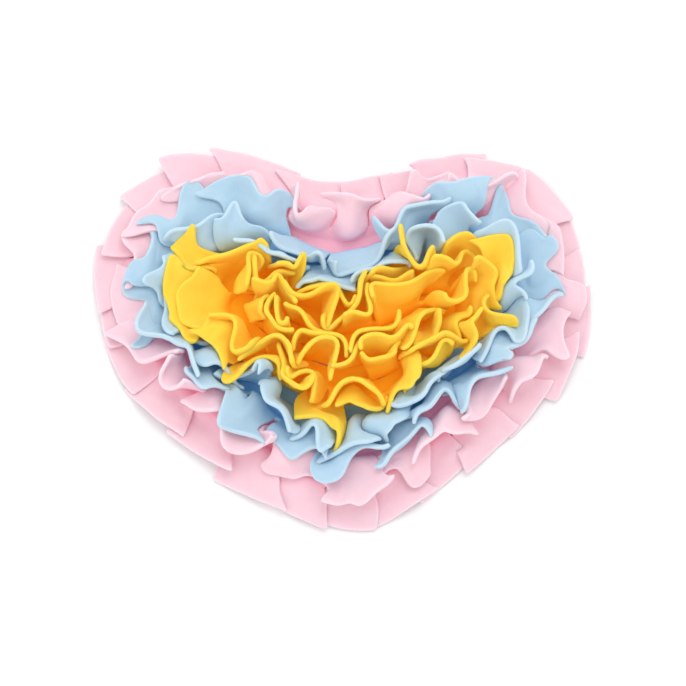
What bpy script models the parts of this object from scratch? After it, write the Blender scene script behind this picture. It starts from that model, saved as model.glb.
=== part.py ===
"""Heart-shaped snuffle mat: a flat base panel with eight sewn rows of slit fleece ruffles.

Lengths in the tables are millimetres and angles are degrees. Bearings run clockwise round the heart,
seen from above: 0 at the notch, 90 at the right side, 180 at the tip and 270 at the left side.
The origin is on the underside, below the middle of the spine; +X is right and +Z is up.
"""

from collections import namedtuple

import bpy
import numpy as np

MM = 0.001
FLEECE = 2.6            # thickness of the fleece strips
BASE_THICKNESS = 3.0
BASE_MARGIN = 7.0       # base beyond the outermost sewn line
STITCH_GAP = 0.3        # between the base and the foot of a strip
FLOOR_CLEARANCE = 0.5   # below the tabs that lie outside the base
ROOT_GAP = 2.6          # between the feet of neighbouring tabs, closed by the uncut part of the strip
NOTCH_SPREAD = 22.0     # bearing over which the notch holds the rows upright
SPINE_HALF = 68.0       # the middle row runs this far to each side
SPINE_RISE = 18.0       # and this much upwards in plan at its ends
SPINE_CENTRE = 12.0
HARMONICS = 6           # waves that make up the heart's outline
FOLD_GROWTH = 1.2       # power by which the folds deepen up a tab
SAMPLES = 121           # points of a path that is added up

# The outermost sewn line, right half; the left half is its mirror image.
Corner = namedtuple("Corner", "bearing x y")
SEWN_LINE = (
    Corner(0, 0, 110),      # notch
    Corner(14, 38, 122),
    Corner(30, 86, 137),    # top of the lobe
    Corner(48, 136, 126),
    Corner(70, 168, 82),
    Corner(90, 170, 30),    # widest
    Corner(110, 151, -12),
    Corner(132, 112, -52),
    Corner(152, 66, -90),
    Corner(168, 27, -114),
    Corner(180, 0, -118),   # tip
)

# A tab is one tongue of a strip between two slits.
#   width, length: its cut size
#   curl: how far its free edge turns from end to end, bending towards the spine where positive
#   wave: swing of an S-shaped free edge
#   turn: heading of the free edge, its clockwise end outwards where positive
#   lean: extra lean outwards at the free edge
#   out:  shift of the free edge outwards
Tab = namedtuple("Tab", "width length curl wave turn lean out")

# A row is one fleece strip sewn round the heart at a level from 0, the spine, to 1, the sewn line. Its
# tabs follow each other clockwise from the bearing where the first one is centred. The strip leans
# outwards by root_lean at its foot and by rim_lean, or notch_lean in the notch, once bend of its length is
# run. A pressed row gives way to the row outside it.
Row = namedtuple("Row", "name finish level first root_lean rim_lean notch_lean bend pressed tabs")

PINK_OUTER = (
    Tab(33, 40, 20, 0, 8, 0, 0),
    Tab(35, 38, -30, 20, 8, 0, 0),
    Tab(43, 46, 10, 0, 8, 0, 0),
    Tab(49, 42, 12, 0, 6, 0, 0),
    Tab(47, 42, -14, 0, 7, 0, 0),
    Tab(41, 40, 10, 0, 8, 0, 0),
    Tab(43, 38, 10, 10, 7, 0, 0),
    Tab(45, 46, 12, 0, 7, 0, 0),
    Tab(47, 42, 12, 0, 7, 0, 0),
    Tab(45, 40, 10, 0, 8, 0, 0),
    Tab(47, 42, -16, 0, 7, 0, 0),
    Tab(45, 40, 12, 0, 6, 0, 0),
    Tab(39, 44, 20, 12, 8, 0, 0),
    Tab(45, 42, 8, 0, 5, 0, 0),
    Tab(45, 42, 10, 0, 7, 0, 0),
    Tab(49, 46, 10, 0, 6, 0, 0),
    Tab(49, 42, -12, 0, 7, 0, 0),
    Tab(51, 42, 12, 0, 7, 0, 0),
    Tab(47, 42, 10, 0, 8, 0, 0),
    Tab(41, 38, -12, 10, 6, 0, 0),
    Tab(47, 44, 12, 0, 7, 0, 0),
    Tab(45, 40, 10, 0, 8, 0, 0),
    Tab(45, 44, -12, 0, 6, 0, 0),
    Tab(53, 42, 10, 0, 6, 0, 0),
    Tab(55, 46, 8, 0, 5, 0, 0),
    Tab(51, 40, 8, 0, 6, 0, 0),
)

PINK_INNER = (
    Tab(47, 44, 150, 0, 10, 0, 0),
    Tab(43, 46, 160, 0, 0, 2, 0),
    Tab(45, 44, 130, 0, 8, 0, 0),
    Tab(45, 46, 40, 0, 8, 0, 0),
    Tab(49, 44, 20, 0, 8, 2, 0),
    Tab(43, 42, 60, 0, 6, 0, 0),
    Tab(55, 46, 180, 0, 0, 0, 0),
    Tab(45, 48, 50, 0, 8, 0, 0),
    Tab(53, 46, 130, 0, 0, 2, 0),
    Tab(45, 44, 40, 0, 8, 0, 0),
    Tab(59, 50, 190, 0, 0, 0, 0),
    Tab(49, 46, 20, 0, 8, 2, 0),
    Tab(47, 48, -20, 0, 8, 0, 0),
    Tab(51, 44, 50, 0, 8, 0, 0),
    Tab(55, 46, 170, 0, 0, 2, 0),
    Tab(53, 46, 180, 0, 0, 0, 0),
    Tab(47, 44, 40, 0, 8, 0, 0),
    Tab(45, 46, 20, 0, 8, 2, 0),
    Tab(47, 44, 50, 0, 8, 0, 0),
    Tab(47, 42, 20, 0, 8, 0, 0),
    Tab(51, 46, 30, 0, 6, 2, 0),
    Tab(45, 44, 60, 0, 8, 0, 0),
    Tab(55, 44, 180, 0, 0, 0, 0),
    Tab(47, 44, 150, 0, -8, 0, 0),
)

BLUE_OUTER = (
    Tab(44, 46, 80, 0, 10, 0, 0),
    Tab(43, 44, 100, 0, 0, 0, 0),
    Tab(49, 56, 165, 0, 0, 4, 2),
    Tab(54, 48, 30, 0, 8, 3, 0),
    Tab(48, 50, 20, 0, 8, 5, 0),
    Tab(46, 44, 120, 0, 0, 0, 0),
    Tab(46, 52, 20, 0, 4, 6, 0),
    Tab(46, 48, 40, 0, 6, 3, 0),
    Tab(47, 50, 140, 0, 0, 2, 0),
    Tab(44, 48, 130, 0, 0, 0, 0),
    Tab(46, 50, 20, 0, 6, 6, 0),
    Tab(43, 46, 20, 0, 6, 3, 0),
    Tab(47, 50, 135, 0, 0, 2, 0),
    Tab(48, 46, 60, 0, 6, 0, 0),
    Tab(50, 48, 20, 0, 6, 3, 0),
    Tab(44, 44, -20, 0, 6, 0, 0),
    Tab(44, 48, 30, 0, 6, 3, 0),
    Tab(57, 50, 12, 0, 5, 6, 0),
    Tab(56, 52, 8, 0, 5, 4, 0),
    Tab(44, 44, 135, 0, 0, 0, 0),
)

BLUE_INNER = (
    Tab(47, 52, 155, 0, 0, 0, 0),
    Tab(40, 48, 100, 0, 0, 0, 0),
    Tab(43, 50, 145, 0, 0, 0, 0),
    Tab(38, 48, 55, 0, 6, 0, 0),
    Tab(51, 52, 50, 0, 6, 3, 0),
    Tab(38, 48, 95, 0, 0, 0, 0),
    Tab(49, 50, 50, 0, 4, 3, 0),
    Tab(45, 50, 130, 0, 0, 0, 0),
    Tab(38, 48, 55, 0, 6, 0, 0),
    Tab(45, 52, 150, 0, 0, 2, 0),
    Tab(43, 50, 145, 0, 0, 0, 0),
    Tab(42, 50, 135, 0, 0, 0, 0),
    Tab(47, 52, 150, 0, 0, 2, 0),
    Tab(47, 48, 60, 70, 0, 0, 0),
    Tab(40, 50, 70, 0, 6, 0, 0),
    Tab(46, 46, 30, 0, 6, 0, 0),
    Tab(47, 50, 60, 0, 6, 3, 0),
    Tab(44, 46, 30, 0, 6, 0, 0),
    Tab(38, 50, 55, 0, 6, 0, 0),
    Tab(45, 48, 130, 0, 0, 0, 0),
)

YELLOW_OUTER = (
    Tab(41, 52, -130, 0, 0, 0, 0),
    Tab(45, 54, 160, 0, 0, 2, 0),
    Tab(40, 50, 60, 0, 6, 8, 0),
    Tab(49, 56, -110, 0, 0, 14, 3),
    Tab(38, 48, 90, 0, 4, 0, 0),
    Tab(40, 52, 40, 50, 0, 3, 0),
    Tab(38, 48, 120, 0, 0, 0, 0),
    Tab(42, 52, 150, 0, 0, 2, 0),
    Tab(36, 48, -95, 0, 0, 0, 0),
    Tab(42, 54, 40, 60, 0, 2, 0),
    Tab(40, 50, -120, 0, 0, 4, 0),
    Tab(38, 48, 110, 0, 0, 0, 0),
    Tab(43, 52, 40, 0, 6, 6, 0),
    Tab(52, 62, 10, 0, 4, 34, 3),
    Tab(38, 58, -75, 0, 0, 30, 2),
    Tab(40, 54, 140, 0, 0, 14, 2),
    Tab(40, 50, 50, 50, 0, 6, 0),
    Tab(40, 50, 140, 0, 0, 0, 0),
)

YELLOW_MIDDLE = (
    Tab(41, 50, 140, 0, 0, 0, 0),
    Tab(39, 48, -120, 0, 0, 2, 0),
    Tab(43, 52, 40, 50, 0, 0, 0),
    Tab(45, 54, 80, 0, 0, 4, 0),
    Tab(39, 48, -100, 0, 0, 0, 0),
    Tab(41, 52, 150, 0, 0, 2, 0),
    Tab(39, 48, -130, 0, 0, 0, 0),
    Tab(41, 52, 140, 0, 0, 0, 0),
    Tab(41, 48, 30, 60, 0, 3, 0),
    Tab(41, 52, 150, 0, 0, 0, 0),
    Tab(41, 52, -110, 0, 0, 4, 0),
    Tab(45, 54, 70, 0, 0, 2, 0),
    Tab(39, 50, -130, 0, 0, 0, 0),
    Tab(41, 48, 150, 0, 0, 2, 0),
    Tab(39, 50, -130, 0, 0, 0, 0),
)

YELLOW_INNER = (
    Tab(40, 50, 120, 0, 0, 0, 0),
    Tab(38, 52, -110, 0, 0, 0, 0),
    Tab(46, 54, 60, 50, 0, 3, 0),
    Tab(40, 50, -100, 0, 0, 0, 0),
    Tab(38, 52, 120, 0, 0, 0, 0),
    Tab(38, 48, -110, 0, 0, 0, 0),
    Tab(40, 52, 120, 0, 0, 0, 0),
    Tab(38, 50, -110, 0, 0, 2, 0),
    Tab(38, 50, 110, 0, 0, 0, 0),
    Tab(46, 54, -60, 50, 0, 3, 0),
    Tab(38, 50, 110, 0, 0, 0, 0),
)

YELLOW_CORE = (
    Tab(38, 52, 110, 0, 0, 0, 0),
    Tab(36, 50, -120, 0, 0, 0, 0),
    Tab(36, 50, 120, 0, 0, 0, 0),
    Tab(38, 52, -110, 0, 0, 0, 0),
)

ROWS = (
    Row("pink_outer", "pink", 1.00, 7, 22, 99, 99, 0.30, False, PINK_OUTER),
    Row("pink_inner", "pink", 0.84, 2, 20, 78, 72, 0.60, False, PINK_INNER),
    Row("blue_outer", "blue", 0.70, 6, 15, 62, 34, 0.80, False, BLUE_OUTER),
    Row("blue_inner", "blue", 0.57, -5, 12, 52, 22, 0.90, True, BLUE_INNER),
    Row("yellow_outer", "yellow", 0.42, 12, 8, 40, 14, 0.90, True, YELLOW_OUTER),
    Row("yellow_middle", "yellow", 0.28, 5, 4, 27, 9, 0.90, True, YELLOW_MIDDLE),
    Row("yellow_inner", "yellow", 0.13, 6, 0, 12, 2, 0.90, True, YELLOW_INNER),
)
CORE = Row("yellow_core", "yellow", 0.0, 0, 0, -6, -6, 1.0, False, YELLOW_CORE)
CORE_END = 62.0         # bearing at which the middle row ends on each side

# Ripples that all standing rows share. Each one slides the fleece sideways in plan, by its swing times the
# sine of the way along its bearing; a slide square to its own bearing never brings two rows together.
Ripple = namedtuple("Ripple", "bearing length swing phase")
RIPPLES = (
    Ripple(20, 44, 5.0, 0.3),
    Ripple(95, 38, 4.5, 1.9),
    Ripple(150, 52, 6.0, 4.0),
    Ripple(60, 32, 3.0, 2.6),
    Ripple(125, 36, 3.5, 5.1),
)
RIPPLE_FLOOR, RIPPLE_RISE = 4.0, 26.0   # ripples start above the first height and are full this much higher

# Neighbouring rows press on each other: where folds would meet, the inner row gives way inwards.
PRESS_GAP = 5.0         # left between the middles of two rows, measured outwards
PRESS_ANGLE = 1.0       # cell of the press, in degrees round the heart
PRESS_HEIGHT = 2.5      # and in millimetres up
PRESS_SPREAD = 2        # cells over which a push fades
PRESS_CELLS, PRESS_TIERS = 360, 28

# Heights of the mesh's levels along a strip, and the level at the foot of the slits.
LEVELS = (0.0, 0.25, 0.6, 1.0)
SLIT_FOOT = 1
FLAT_COLUMNS, FOLDED_COLUMNS = 4, 8

FINISHES = {
    # base colour, roughness
    "pink": ((0.90, 0.60, 0.70), 0.95),
    "blue": ((0.43, 0.66, 0.85), 0.95),
    "yellow": ((1.00, 0.62, 0.05), 0.95),
    "base": ((0.86, 0.62, 0.70), 0.95),
}


def outline_waves():
    """Amplitudes of the waves whose sum runs through the spots of the sewn line."""
    spots = np.array(SEWN_LINE, float)
    angle = np.radians(spots[:, 0])
    order = np.arange(HARMONICS + 1)
    across = np.linalg.lstsq(np.sin(np.outer(angle, order[1:])), spots[:, 1], rcond=None)[0]
    along = np.linalg.lstsq(np.cos(np.outer(angle, order)), spots[:, 2], rcond=None)[0]
    return across, along


ACROSS, ALONG = outline_waves()


def sewn_line(angle):
    """Plan points of the outermost sewn line at these angles in radians."""
    order = np.arange(HARMONICS + 1)
    x = np.sin(np.multiply.outer(angle, order[1:])) @ ACROSS
    y = np.cos(np.multiply.outer(angle, order)) @ ALONG
    return np.stack([x, y], -1)


def spine(angle):
    """Plan points of the smile-shaped spine; it is run along twice, above and below."""
    return np.stack([SPINE_HALF * np.sin(angle), SPINE_CENTRE - SPINE_RISE * np.cos(2 * angle)], -1)


def rays(angle):
    """Foot on the spine, unit direction outwards and length to the sewn line, at each angle."""
    foot = spine(angle)
    way = sewn_line(angle) - foot
    length = np.linalg.norm(way, axis=-1)
    return foot, way / length[..., None], length


def place(angle, reach):
    """Plan point at an angle in radians, this far outwards from the spine."""
    foot, way, _ = rays(angle)
    return foot + way * reach[..., None]


def pace(angle, reach):
    """Millimetres along the row for each radian, at this reach."""
    step = 1e-3
    return np.linalg.norm(place(angle + step, reach) - place(angle - step, reach), axis=-1) / (2 * step)


def notch_share(angle):
    """1 at the notch, falling to 0 where the lobes start."""
    away = (np.degrees(angle) + 180) % 360 - 180
    return np.exp(-((away / NOTCH_SPREAD) ** 2))


def running_sum(steps, size):
    """Trapezium sum of evenly spaced values over the given size."""
    return np.concatenate([[0], np.cumsum((steps[1:] + steps[:-1]) / 2)]) * size / (len(steps) - 1)


def fold_path(tab, across):
    """Free edge of a tab seen from above, along the row and outwards, at these shares of its width.

    The heading is turn + curl * share + wave * cos(one turn over the width), and the path is its sum.
    """
    fine = np.linspace(-0.5, 0.5, SAMPLES)
    heading = np.radians(tab.turn + tab.curl * fine + tab.wave * np.cos(2 * np.pi * fine))
    along, outwards = (running_sum(part, tab.width) for part in (np.cos(heading), np.sin(heading)))
    return (
        np.interp(across, fine, along - along.mean()),
        np.interp(across, fine, outwards - outwards.mean()) + tab.out,
    )


def profile(row, angle, length, extra_lean, shares):
    """Distance outwards, height and lean in radians of a strip at these shares of its length."""
    fine = np.linspace(0, 1, SAMPLES)
    rim_lean = row.rim_lean + notch_share(angle) * (row.notch_lean - row.rim_lean)
    ramp = np.clip(fine / row.bend, 0, 1)
    ramp = ramp * ramp * (3 - 2 * ramp)
    lean = np.radians(row.root_lean + (rim_lean - row.root_lean) * ramp + extra_lean * fine)
    outwards = np.interp(shares, fine, running_sum(np.sin(lean), length))
    height = np.interp(shares, fine, running_sum(np.cos(lean), length))
    return outwards, BASE_THICKNESS + STITCH_GAP + height, np.interp(shares, fine, lean)


def free_path(row):
    """Angles along a row's free edge and the length run up to each of them."""
    ends = (-np.pi, 3 * np.pi) if row.level else (-np.radians(CORE_END), np.radians(CORE_END))
    angle = np.linspace(*ends, 6 * SAMPLES)
    size = np.mean([tab.length for tab in row.tabs])
    outwards = np.array([profile(row, one, size, 0, np.array([1.0]))[0][0] for one in angle])
    reach = row.level * rays(angle)[2] + outwards
    return angle, running_sum(pace(angle, reach), ends[1] - ends[0])


# Where a tab stands: the run along the free edge of its centre, and its foot's two ends in radians.
Spot = namedtuple("Spot", "centre start end")


def stand_tabs(row, path):
    """Shares a row's free edge out between its tabs, each as wide as its folds, with even gaps."""
    angle, run = path
    extents = np.array([(along.min(), along.max()) for along in (
        fold_path(tab, np.linspace(-0.5, 0.5, SAMPLES))[0] for tab in row.tabs)])
    total = (run[-1] - run[0]) / (2 if row.level else 1)
    gap = (total - (extents[:, 1] - extents[:, 0]).sum()) / len(row.tabs)
    steps = extents[:-1, 1] + gap - extents[1:, 0]
    first = np.interp(np.radians(row.first), angle, run) if row.level else gap / 2 - extents[0, 0]
    centres = first + np.concatenate([[0], np.cumsum(steps)])
    starts = np.interp(centres + extents[:, 0] - gap / 2, run, angle)
    ends = np.interp(centres + extents[:, 1] + gap / 2, run, angle)
    middle = (starts + ends) / 2
    trim = ROOT_GAP / 2 / pace(middle, row.level * rays(middle)[2])
    return [Spot(*spot) for spot in zip(centres, starts + trim, ends - trim)]


def ripple(points):
    """Slides (..., 3) points in plan by the shared ripples, one after another."""
    points = points.copy()
    rise = np.clip((points[..., 2] - RIPPLE_FLOOR) / RIPPLE_RISE, 0, 1)
    for wave in RIPPLES:
        bearing = np.radians(wave.bearing)
        across = np.array([np.cos(bearing), -np.sin(bearing)])
        way = points[..., :2] @ np.array([np.sin(bearing), np.cos(bearing)])
        slide = wave.swing * rise * np.sin(2 * np.pi * way / wave.length + wave.phase)
        points[..., :2] += slide[..., None] * across
    return points


def tab_polar(row, tab, spot, path, shares, across):
    """Angle, reach and height of a tab's middle surface, as (level, column) grids.

    A point starts on the sewn row at its share of the foot. As it climbs, it moves over to the free
    edge's path, and its distance from the row is measured square to the leaning strip.
    """
    path_angle, run = path
    centre = np.interp(spot.centre, run, path_angle)
    outwards, height, lean = profile(row, centre, tab.length, tab.lean, shares)
    along, off = fold_path(tab, across)
    free = np.interp(spot.centre + along, run, path_angle)
    root = spot.start + (spot.end - spot.start) * (across + 0.5)
    share = shares[:, None]
    angle = root + (free - root) * share
    off = off * share ** FOLD_GROWTH
    reach = row.level * rays(angle)[2] + outwards[:, None] + off * np.cos(lean)[:, None]
    rise = height[:, None] - off * np.sin(lean)[:, None]
    return angle, reach, rise


def press_cell(angle, height):
    """Cell of the press that each point lies in, as fractions round the heart and up."""
    return np.degrees(angle) / PRESS_ANGLE, np.clip(height / PRESS_HEIGHT, 0, PRESS_TIERS - 1)


def spread(grid, pick, cells):
    """Each cell takes the pick, maximum or minimum, of the cells around it."""
    for _ in range(cells):
        grid = pick(grid, pick(np.roll(grid, 1, axis=1), np.roll(grid, -1, axis=1)))
        padded = np.pad(grid, ((1, 1), (0, 0)), mode="edge")
        grid = pick(grid, pick(padded[:-2], padded[2:]))
    return grid


def limits(points, pick, empty):
    """Largest or smallest reach of these polar points in every cell of the press."""
    grid = np.full((PRESS_TIERS, PRESS_CELLS), empty)
    for angle, reach, height in points:
        around, up = press_cell(angle, height)
        pick.at(grid, (np.rint(up).astype(int), np.rint(around).astype(int) % PRESS_CELLS), reach)
    return spread(grid, pick, 1)


def soften(grid):
    """Widens each push and fades it out, never below what is needed."""
    grid = spread(grid, np.maximum, PRESS_SPREAD)
    for _ in range(PRESS_SPREAD):
        padded = np.pad(grid, ((1, 1), (0, 0)), mode="edge")
        grid = (padded[:-2] + 2 * grid + padded[2:]) / 4
        grid = (np.roll(grid, 1, axis=1) + 2 * grid + np.roll(grid, -1, axis=1)) / 4
    return grid


def give_way(push, angle, reach, height):
    """Moves polar points inwards by the push, read between its cells."""
    around, up = press_cell(angle, height)
    left, low = np.floor(around).astype(int), np.floor(up).astype(int)
    east, north = around - left, up - low
    high = np.minimum(low + 1, PRESS_TIERS - 1)
    left, right = left % PRESS_CELLS, (left + 1) % PRESS_CELLS
    lower = push[low, left] * (1 - east) + push[low, right] * east
    upper = push[high, left] * (1 - east) + push[high, right] * east
    return reach - lower * (1 - north) - upper * north


def strip_surfaces(shares, across_of):
    """Every row with the middle surfaces of its tabs, laid from the outermost row inwards."""
    sampled = []
    outer = None
    fine = np.linspace(0, 1, 25), np.linspace(-0.5, 0.5, 41)
    for row in (*ROWS, CORE):
        path = free_path(row)
        stands = [(tab, spot) for tab, spot in zip(row.tabs, stand_tabs(row, path))]
        polar = [tab_polar(row, tab, spot, path, *fine) for tab, spot in stands]
        push = np.zeros((PRESS_TIERS, PRESS_CELLS))
        if outer is not None and row.pressed:
            need = limits(polar, np.maximum, -np.inf) - limits(outer, np.minimum, np.inf) + PRESS_GAP
            push = soften(np.maximum(need, 0))
        outer = [(angle, give_way(push, angle, reach, height), height) for angle, reach, height in polar]
        surfaces = []
        for tab, spot in stands:
            angle, reach, height = tab_polar(row, tab, spot, path, shares, across_of(row))
            reach = give_way(push, angle, reach, height)
            points = np.concatenate([place(angle, reach), height[..., None]], -1)
            surfaces.append(ripple(points))
        sampled.append((row, surfaces))
    return sampled


def columns_of(row):
    """Shares of the width at which a row's tabs have their columns, fewer where they lie flat."""
    count = FLAT_COLUMNS if row.level == 1 else FOLDED_COLUMNS
    return np.linspace(-0.5, 0.5, count)


def normals_of(grid):
    """Unit normals of a (level, column, 3) grid."""
    up = np.gradient(grid, axis=0)
    along = np.gradient(grid, axis=1)
    normal = np.cross(along, up)
    return normal / np.linalg.norm(normal, axis=-1, keepdims=True)


def join_tabs(surfaces):
    """Middle surface and normals of a whole strip, and for each column whether a slit follows it."""
    slits = [np.arange(surface.shape[1]) == surface.shape[1] - 1 for surface in surfaces]
    normals = [normals_of(surface) for surface in surfaces]
    return np.concatenate(surfaces, 1), np.concatenate(normals, 1), np.concatenate(slits)


def thick_mesh(name, middle, normal, slits, closed):
    """Mesh of a strip with its thickness, walled at the free edge, the foot, the slits and the ends."""
    half = FLEECE / 2
    lowest = half + FLOOR_CLEARANCE
    middle = middle.copy()
    middle[..., 2] = np.maximum(middle[..., 2], lowest)
    levels, columns = middle.shape[:2]
    points = np.stack([middle + normal * half, middle - normal * half])
    points[:, 0, :, 2] = BASE_THICKNESS + STITCH_GAP
    index = np.arange(points[..., 0].size).reshape(2, levels, columns)
    after = np.roll(index, -1, axis=2)
    solid = np.ones((levels - 1, columns), bool)
    solid[SLIT_FOOT:, slits] = False
    if not closed:
        solid[:, -1] = False

    def walls(edge, first, second):
        """Quads from the front to the back along the chosen edges of the grid."""
        return np.stack([first[0][edge], first[1][edge], second[1][edge], second[0][edge]], -1)

    front, back = (index[0], after[0]), (index[1], after[1])
    faces = [
        np.stack([front[0][:-1], front[1][:-1], front[1][1:], front[0][1:]], -1)[solid],
        np.stack([back[0][1:], back[1][1:], back[1][:-1], back[0][:-1]], -1)[solid],
    ]
    below = np.vstack([np.zeros((1, columns), bool), solid[:-1]])
    above = np.vstack([solid[1:], np.zeros((1, columns), bool)])
    before = np.roll(solid, 1, axis=1)
    behind = np.roll(solid, -1, axis=1)
    low, high = index[:, :-1], index[:, 1:]
    low_after, high_after = after[:, :-1], after[:, 1:]
    faces.append(walls(solid & ~below, low, low_after))
    faces.append(walls(solid & ~above, high_after, high))
    faces.append(walls(solid & ~before, high, low))
    faces.append(walls(solid & ~behind, low_after, high_after))
    mesh = bpy.data.meshes.new(name)
    mesh.from_pydata((points.reshape(-1, 3) * MM).tolist(), [], np.concatenate(faces).tolist())
    mesh.validate()
    mesh.update()
    return mesh


def fleece_finish(name):
    """Matte cloth material of one colour."""
    colour, roughness = FINISHES[name]
    material = bpy.data.materials.new(name)
    material.use_nodes = True
    shader = material.node_tree.nodes["Principled BSDF"]
    shader.inputs["Base Color"].default_value = (*colour, 1)
    shader.inputs["Roughness"].default_value = roughness
    shader.inputs["Metallic"].default_value = 0
    material.diffuse_color = (*colour, 1)
    return material


def add_object(name, mesh, material):
    """Puts a mesh into the scene with its material."""
    mesh.materials.append(material)
    thing = bpy.data.objects.new(name, mesh)
    bpy.context.scene.collection.objects.link(thing)
    return thing


def base_mesh():
    """Flat heart panel, from the surface it lies on to its top."""
    angle = np.radians(np.arange(0, 360, 4))
    foot, way, length = rays(angle)
    plan = foot + way * (length + BASE_MARGIN)[:, None]
    count = len(plan)
    points = [(x, y, z) for z in (0, BASE_THICKNESS) for x, y in plan]
    ring = range(count)
    faces = [tuple(ring), tuple(count + i for i in reversed(ring))]
    faces += [(i, count + i, count + (i + 1) % count, (i + 1) % count) for i in ring]
    mesh = bpy.data.meshes.new("base")
    mesh.from_pydata([tuple(MM * value for value in point) for point in points], [], faces)
    mesh.update()
    return mesh


def build():
    """The whole mat."""
    for thing in list(bpy.data.objects):
        bpy.data.objects.remove(thing)
    finishes = {name: fleece_finish(name) for name in FINISHES}
    add_object("base", base_mesh(), finishes["base"])
    for row, surfaces in strip_surfaces(np.array(LEVELS), columns_of):
        middle, normal, slits = join_tabs(surfaces)
        mesh = thick_mesh(row.name, middle, normal, slits, closed=row.level > 0)
        add_object(row.name, mesh, finishes[row.finish])


build()
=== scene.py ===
"""Looks of a heart-shaped snuffle mat: eight rows of slit fleece ruffles sewn on a flat felt panel.

Tables are in millimetres and degrees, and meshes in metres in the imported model's frame: +X to the right
lobe, +Y to the notch, +Z up. Bearings run clockwise seen from above: 0 at the notch, 90 at the right side,
180 at the tip and 270 at the left side.
"""

import logging
from dataclasses import dataclass, field, replace
from enum import Enum
from typing import Any, Callable, Iterator, Optional, Union

import bpy
import numpy as np
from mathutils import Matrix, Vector


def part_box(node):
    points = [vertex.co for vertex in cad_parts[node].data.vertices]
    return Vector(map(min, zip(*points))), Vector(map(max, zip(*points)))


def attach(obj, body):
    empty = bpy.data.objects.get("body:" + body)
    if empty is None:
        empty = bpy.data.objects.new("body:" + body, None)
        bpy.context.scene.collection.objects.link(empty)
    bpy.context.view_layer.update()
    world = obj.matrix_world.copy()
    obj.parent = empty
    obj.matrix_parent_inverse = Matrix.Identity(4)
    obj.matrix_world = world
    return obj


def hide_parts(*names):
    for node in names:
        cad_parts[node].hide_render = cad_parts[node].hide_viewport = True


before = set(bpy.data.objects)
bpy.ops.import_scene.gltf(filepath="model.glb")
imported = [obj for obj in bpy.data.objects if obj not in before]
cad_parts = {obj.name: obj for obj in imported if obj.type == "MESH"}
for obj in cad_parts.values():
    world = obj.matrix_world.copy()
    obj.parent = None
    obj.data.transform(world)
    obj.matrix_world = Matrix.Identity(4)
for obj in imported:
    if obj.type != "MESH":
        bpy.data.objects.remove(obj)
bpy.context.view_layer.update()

LOG = logging.getLogger("snuffle_mat")
MM = 0.001
BODY = "root"
BASE_NODE = "base"
SAMPLES = 121  # points of a path that is added up
TINY = 1e-9  # keeps a length from dividing by zero
CORE_END = 62.0  # bearing at which the core row ends on each side
BASE_MARGIN = 7.0  # base beyond the outermost sewn line
SHAPE_SEED = 200  # added to a row's number for its draws of twists and swivels
PULL_SEED = 100  # and of its tabs' drifts

Grid = np.ndarray
Colour = tuple[float, float, float]
Range = tuple[float, float]


class Slot(Enum):
    """Material slots: a row's slot picks its finish."""

    PINK = "pink_fleece"
    BLUE = "blue_fleece"
    YELLOW = "yellow_fleece"
    FELT = "base_felt"


@dataclass(frozen=True)
class Corner:
    """A point of the outermost sewn line: its bearing in degrees and its place in plan in mm."""

    bearing: float
    x: float
    y: float


@dataclass(frozen=True)
class Tab:
    """One tongue of a strip between two slits, in mm and degrees.

    width and length are its cut size. curl is how far its free edge turns from end to end, bending towards
    the spine where positive; wave is the swing of an S-shaped free edge; turn is the edge's heading, its
    clockwise end outwards where positive; lean is extra lean outwards; out shifts the free edge outwards.
    """

    width: float
    length: float
    curl: float
    wave: float = 0
    turn: float = 0
    lean: float = 0
    out: float = 0


@dataclass(frozen=True)
class Nudge:
    """A tab, by number, that lies in its own way: curl and swivel in degrees, and drift in mm a step."""

    tab: int
    curl: float
    swivel: float
    east: float
    north: float
    up: float = 0


@dataclass(frozen=True)
class Sway:
    """How unevenly a row's tabs stand.

    In the crowd they drift outwards by pull and any way by up to stray, in mm a step. Before it, each is
    turned in its own face by up to twist, and its free edge about the vertical by up to swivel, in degrees.
    curl is the share that stays of its curl, and fuller the share by which its free edge is cut wider.
    """

    pull: float
    stray: float
    twist: float
    swivel: float
    curl: float
    fuller: float


@dataclass(frozen=True)
class Row:
    """One strip sewn round the heart at a level from 0, the spine, to 1, the outermost sewn line.

    first is the bearing where its first tab is centred; the others follow clockwise. The strip leans
    outwards by root_lean at its foot and by rim_lean, or notch_lean in the notch, once bend of its length
    is run. A pressed row gives way to the row outside it. margin is the most that its uncut edge is wide.
    """

    name: str
    slot: Slot
    level: float
    first: float
    root_lean: float
    rim_lean: float
    notch_lean: float
    bend: float
    pressed: bool
    margin: float
    sway: Sway
    tabs: tuple[Tab, ...]
    nudges: tuple[Nudge, ...] = ()


@dataclass(frozen=True)
class Ripple:
    """Slides the fleece in plan, square to its bearing, by swing times the sine of the way along it."""

    bearing: float
    length: float
    swing: float
    phase: float


def tab_table(*lines: tuple[float, ...]) -> tuple[Tab, ...]:
    """Tabs from lines of width, length, curl, wave, turn, lean and out, less the zeros at a line's end."""
    return tuple(Tab(*line) for line in lines)


SEWN_LINE = (
    Corner(0, 0, 110),  # notch
    Corner(14, 38, 122),
    Corner(30, 86, 137),  # top of the lobe
    Corner(48, 136, 126),
    Corner(70, 168, 82),
    Corner(90, 170, 30),  # widest
    Corner(110, 151, -12),
    Corner(132, 112, -52),
    Corner(152, 66, -90),
    Corner(168, 27, -114),
    Corner(180, 0, -118),  # tip
)

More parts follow.
